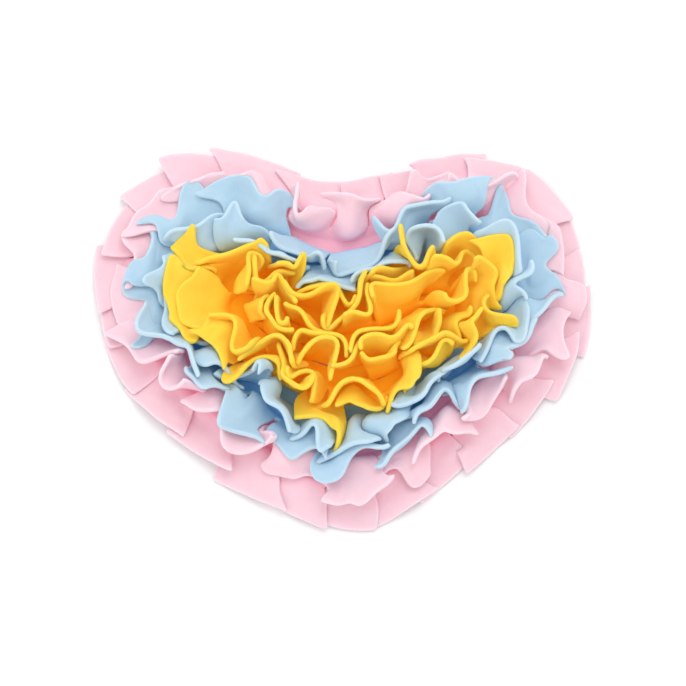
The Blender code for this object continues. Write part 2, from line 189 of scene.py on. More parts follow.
ROWS = (
    Row("pink_outer", Slot.PINK, 1.00, 7, 22, 99, 99, 0.30, False, 20.0,
        Sway(0.06, 0.16, 16, 0, 1, 0.08), tab_table(
        (33, 40, 20, 0, 8), (35, 38, -30, 20, 8), (43, 46, 10, 0, 8), (49, 42, 12, 0, 6),
        (47, 42, -14, 0, 7), (41, 40, 10, 0, 8), (43, 38, 10, 10, 7), (45, 46, 12, 0, 7),
        (47, 42, 12, 0, 7), (45, 40, 10, 0, 8), (47, 42, -16, 0, 7), (45, 40, 12, 0, 6),
        (39, 44, 20, 12, 8), (45, 42, 8, 0, 5), (45, 42, 10, 0, 7), (49, 46, 10, 0, 6),
        (49, 42, -12, 0, 7), (51, 42, 12, 0, 7), (47, 42, 10, 0, 8), (41, 38, -12, 10, 6),
        (47, 44, 12, 0, 7), (45, 40, 10, 0, 8), (45, 44, -12, 0, 6), (53, 42, 10, 0, 6),
        (55, 46, 8, 0, 5), (51, 40, 8, 0, 6),
    )),
    Row("pink_inner", Slot.PINK, 0.84, 2, 20, 78, 72, 0.60, False, 20.0,
        Sway(-0.08, 0.20, 12, 16, 0.75, 0.28), tab_table(
        (47, 44, 150, 0, 10), (43, 46, 160, 0, 0, 2), (45, 44, 130, 0, 8), (45, 46, 40, 0, 8),
        (49, 44, 20, 0, 8, 2), (43, 42, 60, 0, 6), (55, 46, 180), (45, 48, 50, 0, 8),
        (53, 46, 130, 0, 0, 2), (45, 44, 40, 0, 8), (59, 50, 190), (49, 46, 20, 0, 8, 2),
        (47, 48, -20, 0, 8), (51, 44, 50, 0, 8), (55, 46, 170, 0, 0, 2), (53, 46, 180),
        (47, 44, 40, 0, 8), (45, 46, 20, 0, 8, 2), (47, 44, 50, 0, 8), (47, 42, 20, 0, 8),
        (51, 46, 30, 0, 6, 2), (45, 44, 60, 0, 8), (55, 44, 180), (47, 44, 150, 0, -8),
    ), (
        # loops in the notch, then beside the blue rows below, and one that lies low
        Nudge(0, 150, 25, 0, -0.2), Nudge(1, 160, -25, 0, -0.2), Nudge(22, 180, 30, 0, -0.2),
        Nudge(23, 150, -30, 0, -0.2), Nudge(8, 170, 20, -0.12, 0.1, 0.05),
        Nudge(9, -160, -20, -0.12, 0.15, 0.05), Nudge(14, -170, 20, 0.05, 0.1, 0.05),
        Nudge(15, 180, -20, 0.12, 0.12, 0.05), Nudge(16, -170, 20, 0.15, 0.1, 0.05),
        Nudge(18, 30, 0, -0.1, 0, -0.15),
    )),
    Row("blue_outer", Slot.BLUE, 0.70, 6, 15, 62, 34, 0.80, False, 20.0,
        Sway(-0.08, 0.20, 11, 18, 0.65, 0.25), tab_table(
        (44, 46, 80, 0, 10), (43, 44, 100), (49, 56, 165, 0, 0, 4, 2), (54, 48, 30, 0, 8, 3),
        (48, 50, 20, 0, 8, 5), (46, 44, 120), (46, 52, 20, 0, 4, 6), (46, 48, 40, 0, 6, 3),
        (47, 50, 140, 0, 0, 2), (44, 48, 130), (46, 50, 20, 0, 6, 6), (43, 46, 20, 0, 6, 3),
        (47, 50, 135, 0, 0, 2), (48, 46, 60, 0, 6), (50, 48, 20, 0, 6, 3), (44, 44, -20, 0, 6),
        (44, 48, 30, 0, 6, 3), (57, 50, 12, 0, 5, 6), (56, 52, 8, 0, 5, 4), (44, 44, 135),
    ), (
        # inwards at the notch, then flat on both sides
        Nudge(0, 50, 15, 0, -0.4), Nudge(19, 60, -15, 0, -0.4), Nudge(3, 30, 0, 0.2, 0.15, -0.2),
        Nudge(4, 20, 0, 0.3, 0, -0.2), Nudge(15, -20, 0, -0.3, 0, -0.2),
        Nudge(16, 30, 0, -0.25, 0.15, -0.2), Nudge(17, 12, 0, -0.15, 0.25, -0.2),
        Nudge(18, 8, 0, 0, 0.3, -0.2),
    )),
    Row("blue_inner", Slot.BLUE, 0.57, -5, 12, 52, 22, 0.90, True, 20.0,
        Sway(-0.12, 0.20, 9, 26, 0.85, 0.3), tab_table(
        (47, 52, 155), (40, 48, 100), (43, 50, 145), (38, 48, 55, 0, 6), (51, 52, 50, 0, 6, 3),
        (38, 48, 95), (49, 50, 50, 0, 4, 3), (45, 50, 130), (38, 48, 55, 0, 6), (45, 52, 150, 0, 0, 2),
        (43, 50, 145), (42, 50, 135), (47, 52, 150, 0, 0, 2), (47, 48, 60, 70), (40, 50, 70, 0, 6),
        (46, 46, 30, 0, 6), (47, 50, 60, 0, 6, 3), (44, 46, 30, 0, 6), (38, 50, 55, 0, 6), (45, 48, 130),
    ), (
        # folds over the yellow
        Nudge(19, 80, 10, 0.1, -0.5), Nudge(0, -140, 0, -0.05, -0.5), Nudge(1, -170, 0, 0.1, -0.3, 0.05),
        Nudge(2, -140, 0, 0, -0.25, 0.05),
    )),
    Row("yellow_outer", Slot.YELLOW, 0.42, 12, 8, 40, 14, 0.90, True, 20.0,
        Sway(-0.08, 0.20, 9, 30, 0.8, 0.3), tab_table(
        (41, 52, -130), (45, 54, 160, 0, 0, 2), (40, 50, 60, 0, 6, 8), (49, 56, -110, 0, 0, 14, 3),
        (38, 48, 90, 0, 4), (40, 52, 40, 50, 0, 3), (38, 48, 120), (42, 52, 150, 0, 0, 2), (36, 48, -95),
        (42, 54, 40, 60, 0, 2), (40, 50, -120, 0, 0, 4), (38, 48, 110), (43, 52, 40, 0, 6, 6),
        (52, 62, 10, 0, 4, 34, 3), (38, 58, -75, 0, 0, 30, 2), (40, 54, 140, 0, 0, 14, 2),
        (40, 50, 50, 50, 0, 6), (40, 50, 140),
    ), (
        # low in the notch, then out below, then out on the left
        Nudge(17, 100, 0, 0.1, -0.25, -0.3), Nudge(0, -120, 0, 0.15, -0.2, -0.3),
        Nudge(9, 40, 0, 0, -0.5), Nudge(13, 10, 0, -0.2, 0, -0.1), Nudge(14, -60, 0, -0.2, 0.1, -0.1),
    )),
    Row("yellow_middle", Slot.YELLOW, 0.28, 5, 4, 27, 9, 0.90, True, 20.0,
        Sway(-0.05, 0.20, 8, 36, 0.9, 0.3), tab_table(
        (41, 50, 140), (39, 48, -120, 0, 0, 2), (43, 52, 40, 50), (45, 54, 80, 0, 0, 4), (39, 48, -100),
        (41, 52, 150, 0, 0, 2), (39, 48, -130), (41, 52, 140), (41, 48, 30, 60, 0, 3), (41, 52, 150),
        (41, 52, -110, 0, 0, 4), (45, 54, 70, 0, 0, 2), (39, 50, -130), (41, 48, 150, 0, 0, 2),
        (39, 50, -130),
    ), (
        # the broad sheet on the left, then stacked edges on the right
        Nudge(11, 40, 0, -0.6, -0.1, -0.2), Nudge(2, 40, 60, 0.2, 0.1), Nudge(3, 50, 60, 0.2, -0.1),
    )),
    Row("yellow_inner", Slot.YELLOW, 0.13, 6, 0, 12, 2, 0.90, True, 30.0,
        Sway(0.00, 0.18, 7, 38, 1, 0.35), tab_table(
        (40, 50, 120), (38, 52, -110), (46, 54, 60, 50, 0, 3), (40, 50, -100), (38, 52, 120),
        (38, 48, -110), (40, 52, 120), (38, 50, -110, 0, 0, 2), (38, 50, 110), (46, 54, -60, 50, 0, 3),
        (38, 50, 110),
    ), (
        Nudge(2, 50, 60, 0.2, 0),
    )),
    Row("yellow_core", Slot.YELLOW, 0.0, 0, 0, -6, -6, 1.0, False, 1.6,
        Sway(0.00, 0.15, 6, 38, 1, 0.35), tab_table(
        (38, 52, 110), (36, 50, -120), (36, 50, 120), (38, 52, -110),
    ), (
        Nudge(3, -110, 0, 0.35, 0),
    )),
)

RIPPLES = (
    Ripple(20, 44, 5.0, 0.3),
    Ripple(95, 38, 4.5, 1.9),
    Ripple(150, 52, 6.0, 4.0),
    Ripple(60, 32, 3.0, 2.6),
    Ripple(125, 36, 3.5, 5.1),
)

# Level step, column step and stiffness of the crowd's threads: the next knots hold the cut size, slanted
# ones the shape, and farther ones resist bending.
THREADS = (
    (0, 1, 1.0), (1, 0, 1.0), (1, 1, 0.8), (1, -1, 0.8), (0, 2, 0.6), (2, 0, 0.6),
    (0, 4, 0.5), (4, 0, 0.5), (3, 3, 0.5), (3, -3, 0.5), (0, 8, 0.2), (6, 6, 0.3), (6, -6, 0.3),
)


def running_sum(steps: Grid, size: float) -> Grid:
    """Trapezium sum of evenly spaced values over the given size, starting at 0."""
    return np.concatenate([[0], np.cumsum((steps[1:] + steps[:-1]) / 2)]) * size / (len(steps) - 1)


def smooth(share: Grid) -> Grid:
    """Eases from 0 to 1: 3 t squared less 2 t cubed, held at 0 and 1 outside."""
    share = np.clip(share, 0, 1)
    return share * share * (3 - 2 * share)


def beside(grid: Grid, axis: int, wrap: bool) -> tuple[Grid, Grid]:
    """Each value's neighbours on both sides: past an end the end itself, or the other end with wrap."""
    index = np.pad(np.arange(grid.shape[axis]), 1, mode="wrap" if wrap else "edge")
    return grid.take(index[:-2], axis), grid.take(index[2:], axis)


def averaged(grid: Grid, axis: int, wrap: bool) -> Grid:
    """Values averaged with those beside them along an axis, as 1, 2, 1."""
    before, after = beside(grid, axis, wrap)
    return (before + 2 * grid + after) / 4


def raised(plan: Grid, height: Grid) -> Grid:
    """Plan points with their heights."""
    return np.concatenate([plan, height[..., None]], -1)


def numbered(points: Grid) -> Grid:
    """The numbers of a grid of points."""
    return np.arange(points[..., 0].size).reshape(points.shape[:-1])


@dataclass
class HeartPlan:
    """Fan of rays that lays every row: from a smile-shaped spine out to the outermost sewn line."""

    corners: tuple[Corner, ...] = SEWN_LINE
    spine_half: float = 68.0
    spine_rise: float = 18.0
    spine_centre: float = 12.0
    waves: int = 6
    notch_spread: float = 22.0
    pace_step: float = 1e-3
    across: Grid = field(init=False)
    along: Grid = field(init=False)

    def __post_init__(self) -> None:
        """Finds the waves whose sum runs through the sewn line's corners, by least squares."""
        bearing = np.radians([corner.bearing for corner in self.corners])
        order = np.arange(self.waves + 1)
        x, y = ([getattr(corner, axis) for corner in self.corners] for axis in "xy")
        self.across = np.linalg.lstsq(np.sin(np.outer(bearing, order[1:])), x, rcond=None)[0]
        self.along = np.linalg.lstsq(np.cos(np.outer(bearing, order)), y, rcond=None)[0]

    def sewn_line(self, angle: Grid) -> Grid:
        """Plan points of the outermost sewn line: a sum of sines across and of cosines along.

        Args:
            angle: bearings round the heart, in radians.

        Returns:
            (..., 2) points in mm.
        """
        order = np.arange(self.waves + 1)
        x = np.sin(np.multiply.outer(angle, order[1:])) @ self.across
        y = np.cos(np.multiply.outer(angle, order)) @ self.along
        return np.stack([x, y], -1)

    def rays(self, angle: Grid) -> tuple[Grid, Grid, Grid]:
        """Foot on the spine, unit direction outwards and length to the sewn line, at each angle.

        The spine is run along twice: x is spine_half times the sine of the angle, and y falls from its
        ends by the cosine of twice the angle.

        Args:
            angle: bearings round the heart, in radians.

        Returns:
            (..., 2) feet, (..., 2) directions, and lengths in mm.
        """
        x = self.spine_half * np.sin(angle)
        foot = np.stack([x, self.spine_centre - self.spine_rise * np.cos(2 * angle)], -1)
        way = self.sewn_line(angle) - foot
        length = np.linalg.norm(way, axis=-1)
        return foot, way / length[..., None], length

    def place(self, angle: Grid, reach: Grid) -> Grid:
        """Plan points this far outwards from the spine: foot plus direction times reach."""
        foot, way, _ = self.rays(angle)
        return foot + way * reach[..., None]

    def ring(self, angle: Grid, level: float, past: float) -> Grid:
        """Plan points this far outwards of a ring of the fan."""
        return self.place(angle, level * self.rays(angle)[2] + past)

    def middle(self, angle: Grid, level: float, past: float) -> Grid:
        """Plan points halfway between both sides of such a ring, at a bearing and its mirror."""
        return (self.ring(angle, level, past) + self.ring(np.pi - angle, level, past)) / 2

    def pace(self, angle: Grid, reach: Grid) -> Grid:
        """Millimetres along a row for each radian at this reach, from a small step both ways."""
        run = self.place(angle + self.pace_step, reach) - self.place(angle - self.pace_step, reach)
        return np.linalg.norm(run, axis=-1) / (2 * self.pace_step)

    def notch_share(self, angle: Grid) -> Grid:
        """1 at the notch, falling to 0 where the lobes start, as a bell over the bearing."""
        away = (np.degrees(angle) + 180) % 360 - 180
        return np.exp(-((away / self.notch_spread) ** 2))


@dataclass
class Press:
    """How far a row gives way inwards to the row outside it, on a grid of height and bearing.

    Each cell compares the largest reach of the inner row with the smallest of the outer one; what is
    missing from the gap becomes a push, widened and softened over the cells around. Polar points are
    grids of angle, reach and height, stacked.
    """

    gap: float = 5.0
    angle: float = 1.0
    height: float = 2.5
    spread: int = 2
    cells: int = 360
    tiers: int = 28
    push: Grid = field(init=False)

    def __post_init__(self) -> None:
        """Starts with no push anywhere."""
        self.push = np.zeros((self.tiers, self.cells))

    def cell(self, angle: Grid, height: Grid) -> tuple[Grid, Grid]:
        """Fractional cell of each point, up and round the heart."""
        return np.clip(height / self.height, 0, self.tiers - 1), np.degrees(angle) / self.angle

    @staticmethod
    def widened(grid: Grid, pick: np.ufunc, cells: int) -> Grid:
        """Each cell takes the pick, maximum or minimum, of the cells around it.

        Args:
            grid: (tier, cell) values, which close round the heart.
            pick: np.maximum or np.minimum.
            cells: how many cells away it looks.

        Returns:
            The grid that was picked.
        """
        for axis in (1, 0) * cells:
            grid = pick(grid, pick(*beside(grid, axis, axis == 1)))
        return grid

    def limits(self, points: Grid, pick: np.ufunc, empty: float) -> Grid:
        """Largest or smallest reach of these polar points in every cell.

        Args:
            points: angle, reach and height, stacked.
            pick: np.maximum for the largest, np.minimum for the smallest.
            empty: value of a cell that holds no point.

        Returns:
            (tier, cell) reaches.
        """
        grid = np.full((self.tiers, self.cells), empty)
        up, around = (np.rint(part).astype(int) for part in self.cell(points[0], points[2]))
        pick.at(grid, (up, around % self.cells), points[1])
        return self.widened(grid, pick, 1)

    def settle(self, inner: Grid, outer: Grid) -> None:
        """Works out the push of an inner row against the outer row's polar points.

        Args:
            inner: polar points of the inner row.
            outer: polar points of the outer row.
        """
        need = self.limits(inner, np.maximum, -np.inf) - self.limits(outer, np.minimum, np.inf) + self.gap
        self.push = self.widened(np.maximum(need, 0), np.maximum, self.spread)
        for axis in (0, 1) * self.spread:
            self.push = averaged(self.push, axis, axis == 1)

    def give_way(self, points: Grid) -> Grid:
        """Polar points with the push taken off their reach, read between its cells in both ways.

        Args:
            points: angle, reach and height, stacked.

        Returns:
            The same, with smaller reaches.
        """
        angle, reach, height = points
        up, around = self.cell(angle, height)
        low, left = np.floor(up).astype(int), np.floor(around).astype(int)
        north, east = up - low, around - left
        lower, upper = (self.push[tier, left % self.cells] * (1 - east)
                        + self.push[tier, (left + 1) % self.cells] * east
                        for tier in (low, np.minimum(low + 1, self.tiers - 1)))
        return np.stack([angle, reach - lower * (1 - north) - upper * north, height])


@dataclass(frozen=True)
class Rippling:
    """The folds that all standing rows share; they grow from floor over rise millimetres."""

    floor: float = 4.0
    rise: float = 26.0
    waves: tuple[Ripple, ...] = RIPPLES

    def slide(self, points: Grid) -> Grid:
        """Slides (..., 3) points in plan, one ripple after another.

        A slide square to its own bearing keeps every area, so it never brings two rows together.

        Args:
            points: points in mm.

        Returns:
            The points in their new places.
        """
        points = points.copy()
        grown = np.clip((points[..., 2] - self.floor) / self.rise, 0, 1)
        for wave in self.waves:
            east, north = np.sin(np.radians(wave.bearing)), np.cos(np.radians(wave.bearing))
            way = points[..., :2] @ np.array([east, north])
            shift = wave.swing * grown * np.sin(2 * np.pi * way / wave.length + wave.phase)
            points[..., :2] += shift[..., None] * np.array([north, -east])
        return points


@dataclass(frozen=True)
class Cloth:
    """Brushed fleece: its thickness, how its cut edges round off, and how unevenly it lies, in mm."""

    thickness: float = 3.8
    rim: float = 1.8  # width over which a cut edge rounds off
    rim_steps: tuple[float, ...] = (0.0, 0.15, 0.45, 0.85)
    rim_least: float = 0.12  # share of the thickness left at the very edge
    corner: Range = (1.8, 3.4)  # radius of the tabs' corners
    dents: tuple[Range, ...] = ((34.0, 0.30), (21.0, 0.20), (11.0, 0.14))  # wave length and swing
    stretch: Range = (0.85, 1.2)  # of a dent's wave length
    frill: Range = (14.0, 24.0)  # wave length along the free edge
    frill_swing: float = 0.30
    curl: Range = (-0.5, 0.8)  # lift of a tab's corners
    curl_from: Range = (0.5, 0.15)  # shares of the length and width where that begins

    def half(self, distance: Grid) -> Grid:
        """Half the thickness at this distance from the nearest cut edge, along a quarter ellipse."""
        inwards = 1 - np.clip(distance / self.rim, 0, 1)
        return self.thickness / 2 * np.maximum(np.sqrt(1 - inwards * inwards), self.rim_least)

    def uneven(self, run: Grid, wide: Grid, share: Grid, across: Grid, dice: np.random.Generator) -> Grid:
        """Lift of the middle surface off its smooth shape.

        Three soft waves in chance directions grow up the tab; the free edge adds a frill, and each
        corner lifts or dips.

        Args:
            run: millimetres up the strip.
            wide: millimetres across the tab from its middle.
            share: share of the tab's length, 0 at the foot and 1 at the free edge.
            across: share of the tab's width from -0.5 to 0.5.
            dice: source of the tab's own chance values.

        Returns:
            Millimetres along the surface's normal.
        """
        lift = np.zeros(np.broadcast(run, wide).shape)
        for length, swing in self.dents:
            (bearing, phase), stretch = dice.uniform(0, 2 * np.pi, 2), dice.uniform(*self.stretch)
            way = run * np.sin(bearing) + wide * np.cos(bearing)
            lift += swing * np.sin(2 * np.pi * way / (length * stretch) + phase)
        lift *= smooth(share)
        length, phase = dice.uniform(*self.frill), dice.uniform(0, 2 * np.pi)
        lift += self.frill_swing * np.clip(share, 0, 1) ** 4 * np.sin(2 * np.pi * wide / length + phase)
        high, far = self.curl_from
        top = smooth((share - high) / (1 - high)) ** 2
        for side in (-1, 1):
            lift += dice.uniform(*self.curl) * top * smooth((side * across - far) / (0.5 - far)) ** 2
        return lift


@dataclass
class Crowd:
    """Lets the tabs of all rows flop and push each other, as the crowded fleece does.

    Each tab is a net of knots. In every step the knots drift by their own pull and by their weight; then
    the net's threads draw them back to its cut size, and knots of two tabs, or of far places on one tab,
    are pushed apart where they come nearer than the cloth is thick.
    """

    plan: HeartPlan
    base_top: float
    cover: float = 3.9  # height of the margins that lie on the base
    slack: float = 1.0  # past the base's edge where knots still keep above it
    levels: int = 16
    columns: int = 16
    held: int = 3  # levels that the seam holds
    gap: float = 4.2  # least distance between two knots
    near: int = 2  # levels and columns between knots of one tab that don't push
    narrow: float = 0.5  # share of its width that a tab's free edge starts with
    grown: float = 0.4  # share of the steps in which the tabs widen to their cut size
    steps: int = 100
    pulled: float = 0.6  # share of the steps in which the pulls last
    ease: float = 2.0  # how fast they then fade
    pull_power: float = 1.5  # by which they grow up a tab
    keep: float = 0.72  # share of a knot's pace that it keeps from step to step
    weight: float = 0.01  # drift downwards in a step, in mm
    fastest: float = 0.9  # most that a knot moves in a step, in mm
    eager: float = 1.3  # how far past the threads' mean a knot is drawn
    passes: int = 3
    floor: float = 0.3
    evened: int = 3  # times that the finished shift is averaged with its neighbours'

    def settle(self, nets: Grid, pulls: Grid, fuller: Grid) -> Grid:
        """Runs the steps.

        Args:
            nets: (tab, level, column, 3) knots of the smooth tabs, in mm.
            pulls: (tab, 3) drift of each tab's free edge in a step, in mm.
            fuller: how much wider each tab's free edge is cut than its net, as a share.

        Returns:
            How far each knot has moved, in the same shape.
        """
        level = np.arange(self.levels)[:, None, None]
        share = level / (self.levels - 1)
        start = 1 - (1 - self.narrow) * smooth((level - self.held + 1) / (self.levels / 2))
        full = 1 + fuller[:, None, None, None] * share
        free = level >= self.held
        places = self.narrowed(nets, start)
        before = places.copy()
        for step in range(self.steps):
            time = step / self.steps
            rests = self.rests(self.narrowed(nets, start + (full - start) * min(time / self.grown, 1)))
            ease = np.clip((1 - time / self.pulled) * self.ease, 0, 1)
            drift = (places - before) * self.keep + pulls[:, None, None] * (share**self.pull_power * ease)
            drift[..., 2] -= self.weight
            before = places.copy()
            places = places + self.limited(drift) * free
            for _ in range(self.passes):
                places = self.parted(self.drawn(places, rests, free), free)
            places = self.above_ground(places, nets)
            places = before + self.limited(places - before)
        shifts = places - nets
        for axis in (1, 2) * self.evened:
            shifts = averaged(shifts, axis, False)
        return shifts

    @staticmethod
    def narrowed(nets: Grid, share: Grid) -> Grid:
        """The nets with every level drawn in towards its middle, to this share of its size."""
        middle = nets.mean(2, keepdims=True)
        return middle + (nets - middle) * share

    def limited(self, drift: Grid) -> Grid:
        """Drifts no longer than the fastest pace."""
        size = np.linalg.norm(drift, axis=-1, keepdims=True)
        return drift * np.minimum(1, self.fastest / np.maximum(size, TINY))

    def rests(self, nets: Grid) -> list[Grid]:
        """Rest lengths of the nets' threads."""
        return [np.linalg.norm(np.subtract(*self.ends(nets, up, along)), axis=-1) for up, along, _ in THREADS]

    @staticmethod
    def ends(grid: Grid, up: int, along: int) -> tuple[Grid, Grid]:
        """Views of the knots at both ends of the threads that run this many levels and columns.

        Args:
            grid: (tab, level, column, ...) values.
            up: levels that a thread crosses.
            along: columns that it crosses, below 0 to the other side.

        Returns:
            Its first and its last knots.
        """
        rows, columns = grid.shape[1:3]
        if along < 0:
            return grid[:, :rows - up, -along:], grid[:, up:, :columns + along]
        return grid[:, :rows - up, :columns - along], grid[:, up:, along:]

    def drawn(self, places: Grid, rests: list[Grid], free: Grid) -> Grid:
        """Places after each knot takes the mean of what its threads ask for.

        Args:
            places: (tab, level, column, 3) knots.
            rests: rest lengths of each kind of thread.
            free: whether a level may move.

        Returns:
            The knots in their new places.
        """
        asked, counts = np.zeros_like(places), np.zeros((*places.shape[:-1], 1))
        for (up, along, stiff), rest in zip(THREADS, rests):
            first, second = self.ends(places, up, along)
            way = second - first
            size = np.maximum(np.linalg.norm(way, axis=-1), TINY)
            pull = way * (0.5 * stiff * (size - rest) / size)[..., None]
            first, second = self.ends(asked, up, along)
            first += pull
            second -= pull
            for count in self.ends(counts, up, along):
                count += stiff
        return places + self.eager * asked / counts * free

    def parted(self, places: Grid, free: Grid) -> Grid:
        """Places after knots that are too near each other have moved apart.

        Args:
            places: (tab, level, column, 3) knots.
            free: whether a level may move.

        Returns:
            The knots in their new places.
        """
        flat = places.reshape(-1, 3)
        pairs = close_pairs(flat, self.gap)
        tab, level, column = np.unravel_index(pairs, places.shape[:3])
        near = tab[0] == tab[1]
        for step in (level, column):
            near &= abs(step[0] - step[1]) <= self.near
        first, second = pairs[:, ~near]
        way = flat[second] - flat[first]
        size = np.maximum(np.linalg.norm(way, axis=1), TINY)
        push = way * (0.5 * (self.gap - size) / size)[:, None]
        knots, count = np.concatenate([first, second]), len(flat)
        moved = np.concatenate([-push, push])
        sums = np.stack([np.bincount(knots, moved[:, axis], count) for axis in range(3)], -1)
        shares = np.maximum(np.bincount(knots, minlength=count), 1) ** 0.5
        return places + (sums / shares[:, None]).reshape(places.shape) * free

    def above_ground(self, places: Grid, nets: Grid) -> Grid:
        """Places kept above the floor, and above the base where they lie over it.

        Args:
            places: (tab, level, column, 3) knots.
            nets: the smooth knots; one that starts lower than the ground may stay as low.

        Returns:
            The knots in their new places.
        """
        bearing = np.radians(np.arange(360))
        centre = np.array([0.0, self.plan.spine_centre])
        rim = self.plan.ring(bearing, 1, BASE_MARGIN) - centre
        turn = np.arctan2(rim[:, 0], rim[:, 1])
        order = np.argsort(turn)
        spot = places[..., :2] - centre
        edge = np.interp(np.arctan2(spot[..., 0], spot[..., 1]), turn[order],
                         np.linalg.norm(rim, axis=1)[order], period=2 * np.pi)
        over = np.linalg.norm(spot, axis=-1) < edge + self.slack
        ground = np.where(over, self.base_top + self.cover, 0) + self.floor + self.gap / 2
        places[..., 2] = np.maximum(places[..., 2], np.minimum(ground, nets[..., 2]))
        return places


def close_pairs(points: Grid, gap: float) -> Grid:
    """(2, pair) numbers of the points nearer to each other than gap.

    The points are sorted into cubes of that size, and each cube is compared with itself and with half of
    the cubes round it, so every pair comes up once.

    Args:
        points: (n, 3) points in mm.
        gap: distance in mm.

    Returns:
        The pairs' numbers.
    """
    cube = np.floor(points / gap).astype(np.int64)
    cube -= cube.min(0) - 1
    size = cube.max(0) + 2
    steps = np.array([size[1] * size[2], size[2], 1])
    key = cube @ steps
    order = np.argsort(key, kind="stable")
    offsets = np.array(list(np.ndindex(3, 3, 3))) - 1
    found = []
    for offset in offsets[len(offsets) // 2:]:
        low, high = (np.searchsorted(key[order], key + offset @ steps, side) for side in ("left", "right"))
        count = high - low
        first = np.repeat(np.arange(len(points)), count)
        skip = np.repeat(np.cumsum(count) - count, count)
        second = order[np.repeat(low, count) + np.arange(len(first)) - skip]
        kept = ((points[first] - points[second]) ** 2).sum(1) < gap * gap
        if not offset.any():
            kept &= first < second
        found.append(np.stack([first[kept], second[kept]]))
    return np.concatenate(found, 1)


def spline_weights(at: Grid, count: int) -> Grid:
    """Weights of evenly spaced knots at places from 0 to count - 1, by the cubic through four knots.

    Args:
        at: places among the knots.
        count: how many knots there are.

    Returns:
        (..., knot) weights.
    """
    at = np.clip(at, 0, count - 1)
    left = np.clip(np.floor(at).astype(int), 0, count - 2)
    t = at - left
    cubic = np.stack([
        -0.5 * t + t**2 - 0.5 * t**3,
        1 - 2.5 * t**2 + 1.5 * t**3,
        0.5 * t + 2 * t**2 - 1.5 * t**3,
        -0.5 * t**2 + 0.5 * t**3,
    ], -1)
    weights = np.zeros((*at.shape, count))
    for step in range(4):
        knot = np.clip(left + step - 1, 0, count - 1)
        np.add.at(weights, (*np.indices(at.shape), knot), cubic[..., step])
    return weights


def mesh_of(name: str, points: Grid, faces: Grid, marks: Optional[dict[str, Grid]] = None) -> bpy.types.Mesh:
    """Makes a smooth mesh.

    Args:
        name: the mesh's name.
        points: (..., 3) points in millimetres.
        faces: (m, 4) corners of its faces; a corner that repeats makes a triangle.
        marks: values for each point, by attribute name.

    Returns:
        The mesh in metres, with points that no face uses left out.
    """
    used, index = np.unique(faces, return_inverse=True)
    corners = [list(dict.fromkeys(face)) for face in index.reshape(faces.shape).tolist()]
    mesh = bpy.data.meshes.new(name)
    mesh.from_pydata((points.reshape(-1, 3)[used] * MM).tolist(), [], corners)
    for mark, values in (marks or {}).items():
        attribute = mesh.attributes.new(mark, "FLOAT", "POINT")
        attribute.data.foreach_set("value", values[used].astype(np.float32))
    mesh.shade_smooth()
    return mesh


def normals_of(grid: Grid) -> Grid:
    """Unit normals of a (level, column, 3) grid: the cross product of its steps along and up."""
    normal = np.cross(np.gradient(grid, axis=1), np.gradient(grid, axis=0))
    return normal / np.linalg.norm(normal, axis=-1, keepdims=True)


@dataclass
class ThickSheet:
    """Closed mesh of a strip: its middle surface gets a front and a back, walled along every cut edge.

    grids holds the middle surface, its normals, the half thickness and the marks of every level and column.
    slits are the columns that a slit follows, which is open above slit_level.
    """

    grids: dict[str, Grid]
    slits: Grid
    slit_level: int
    closed: bool
    marks: tuple[str, ...] = ("edge", "rise", "nap")

    def faces(self) -> Grid:
        """Quads of both sides, and of the walls where a cell has no neighbour."""
        index = numbered(np.stack([self.grids["middle"]] * 2))
        _, levels, columns = index.shape
        after = np.roll(index, -1, axis=2)
        solid = np.ones((levels - 1, columns), bool)
        solid[self.slit_level:, self.slits] = False
        if not self.closed:
            solid[:, -1] = False
        none = np.zeros((1, columns), bool)
        below, above = np.vstack([none, solid[:-1]]), np.vstack([solid[1:], none])
        before, behind = np.roll(solid, 1, axis=1), np.roll(solid, -1, axis=1)
        low, high, low_after, high_after = index[:, :-1], index[:, 1:], after[:, :-1], after[:, 1:]

        def wall(edge: Grid, first: Grid, second: Grid) -> Grid:
            """Quads from the front to the back between two runs of points."""
            return np.stack([first[0][edge], first[1][edge], second[1][edge], second[0][edge]], -1)

        return np.concatenate([
            np.stack([low[0], low_after[0], high_after[0], high[0]], -1)[solid],
            np.stack([high[1], high_after[1], low_after[1], low[1]], -1)[solid],
            wall(solid & ~below, low, low_after),
            wall(solid & ~above, high_after, high),
            wall(solid & ~before, high, low),
            wall(solid & ~behind, low_after, high_after),
        ])

    def mesh(self, name: str) -> bpy.types.Mesh:
        """Builds the mesh in metres, with every mark as an attribute of its points.

        Args:
            name: the mesh's name.

        Returns:
            The closed mesh.
        """
        middle, lift = self.grids["middle"], self.grids["normal"] * self.grids["half"][..., None]
        marks = {mark: np.stack([self.grids[mark]] * 2).ravel() for mark in self.marks}
        return mesh_of(name, np.stack([middle + lift, middle - lift]), self.faces(), marks)


@dataclass(frozen=True)
class Spot:
    """Where a tab stands: its centre as a run along the free edge and a bearing, and its foot's two ends."""

    centre: float
    bearing: float
    start: float
    end: float


@dataclass(frozen=True)
class Bend:
    """Arc that joins the standing strip to its margin: its top, its radius, and the run at its foot."""

    out: float
    height: float
    lean: float
    radius: float
    foot: float


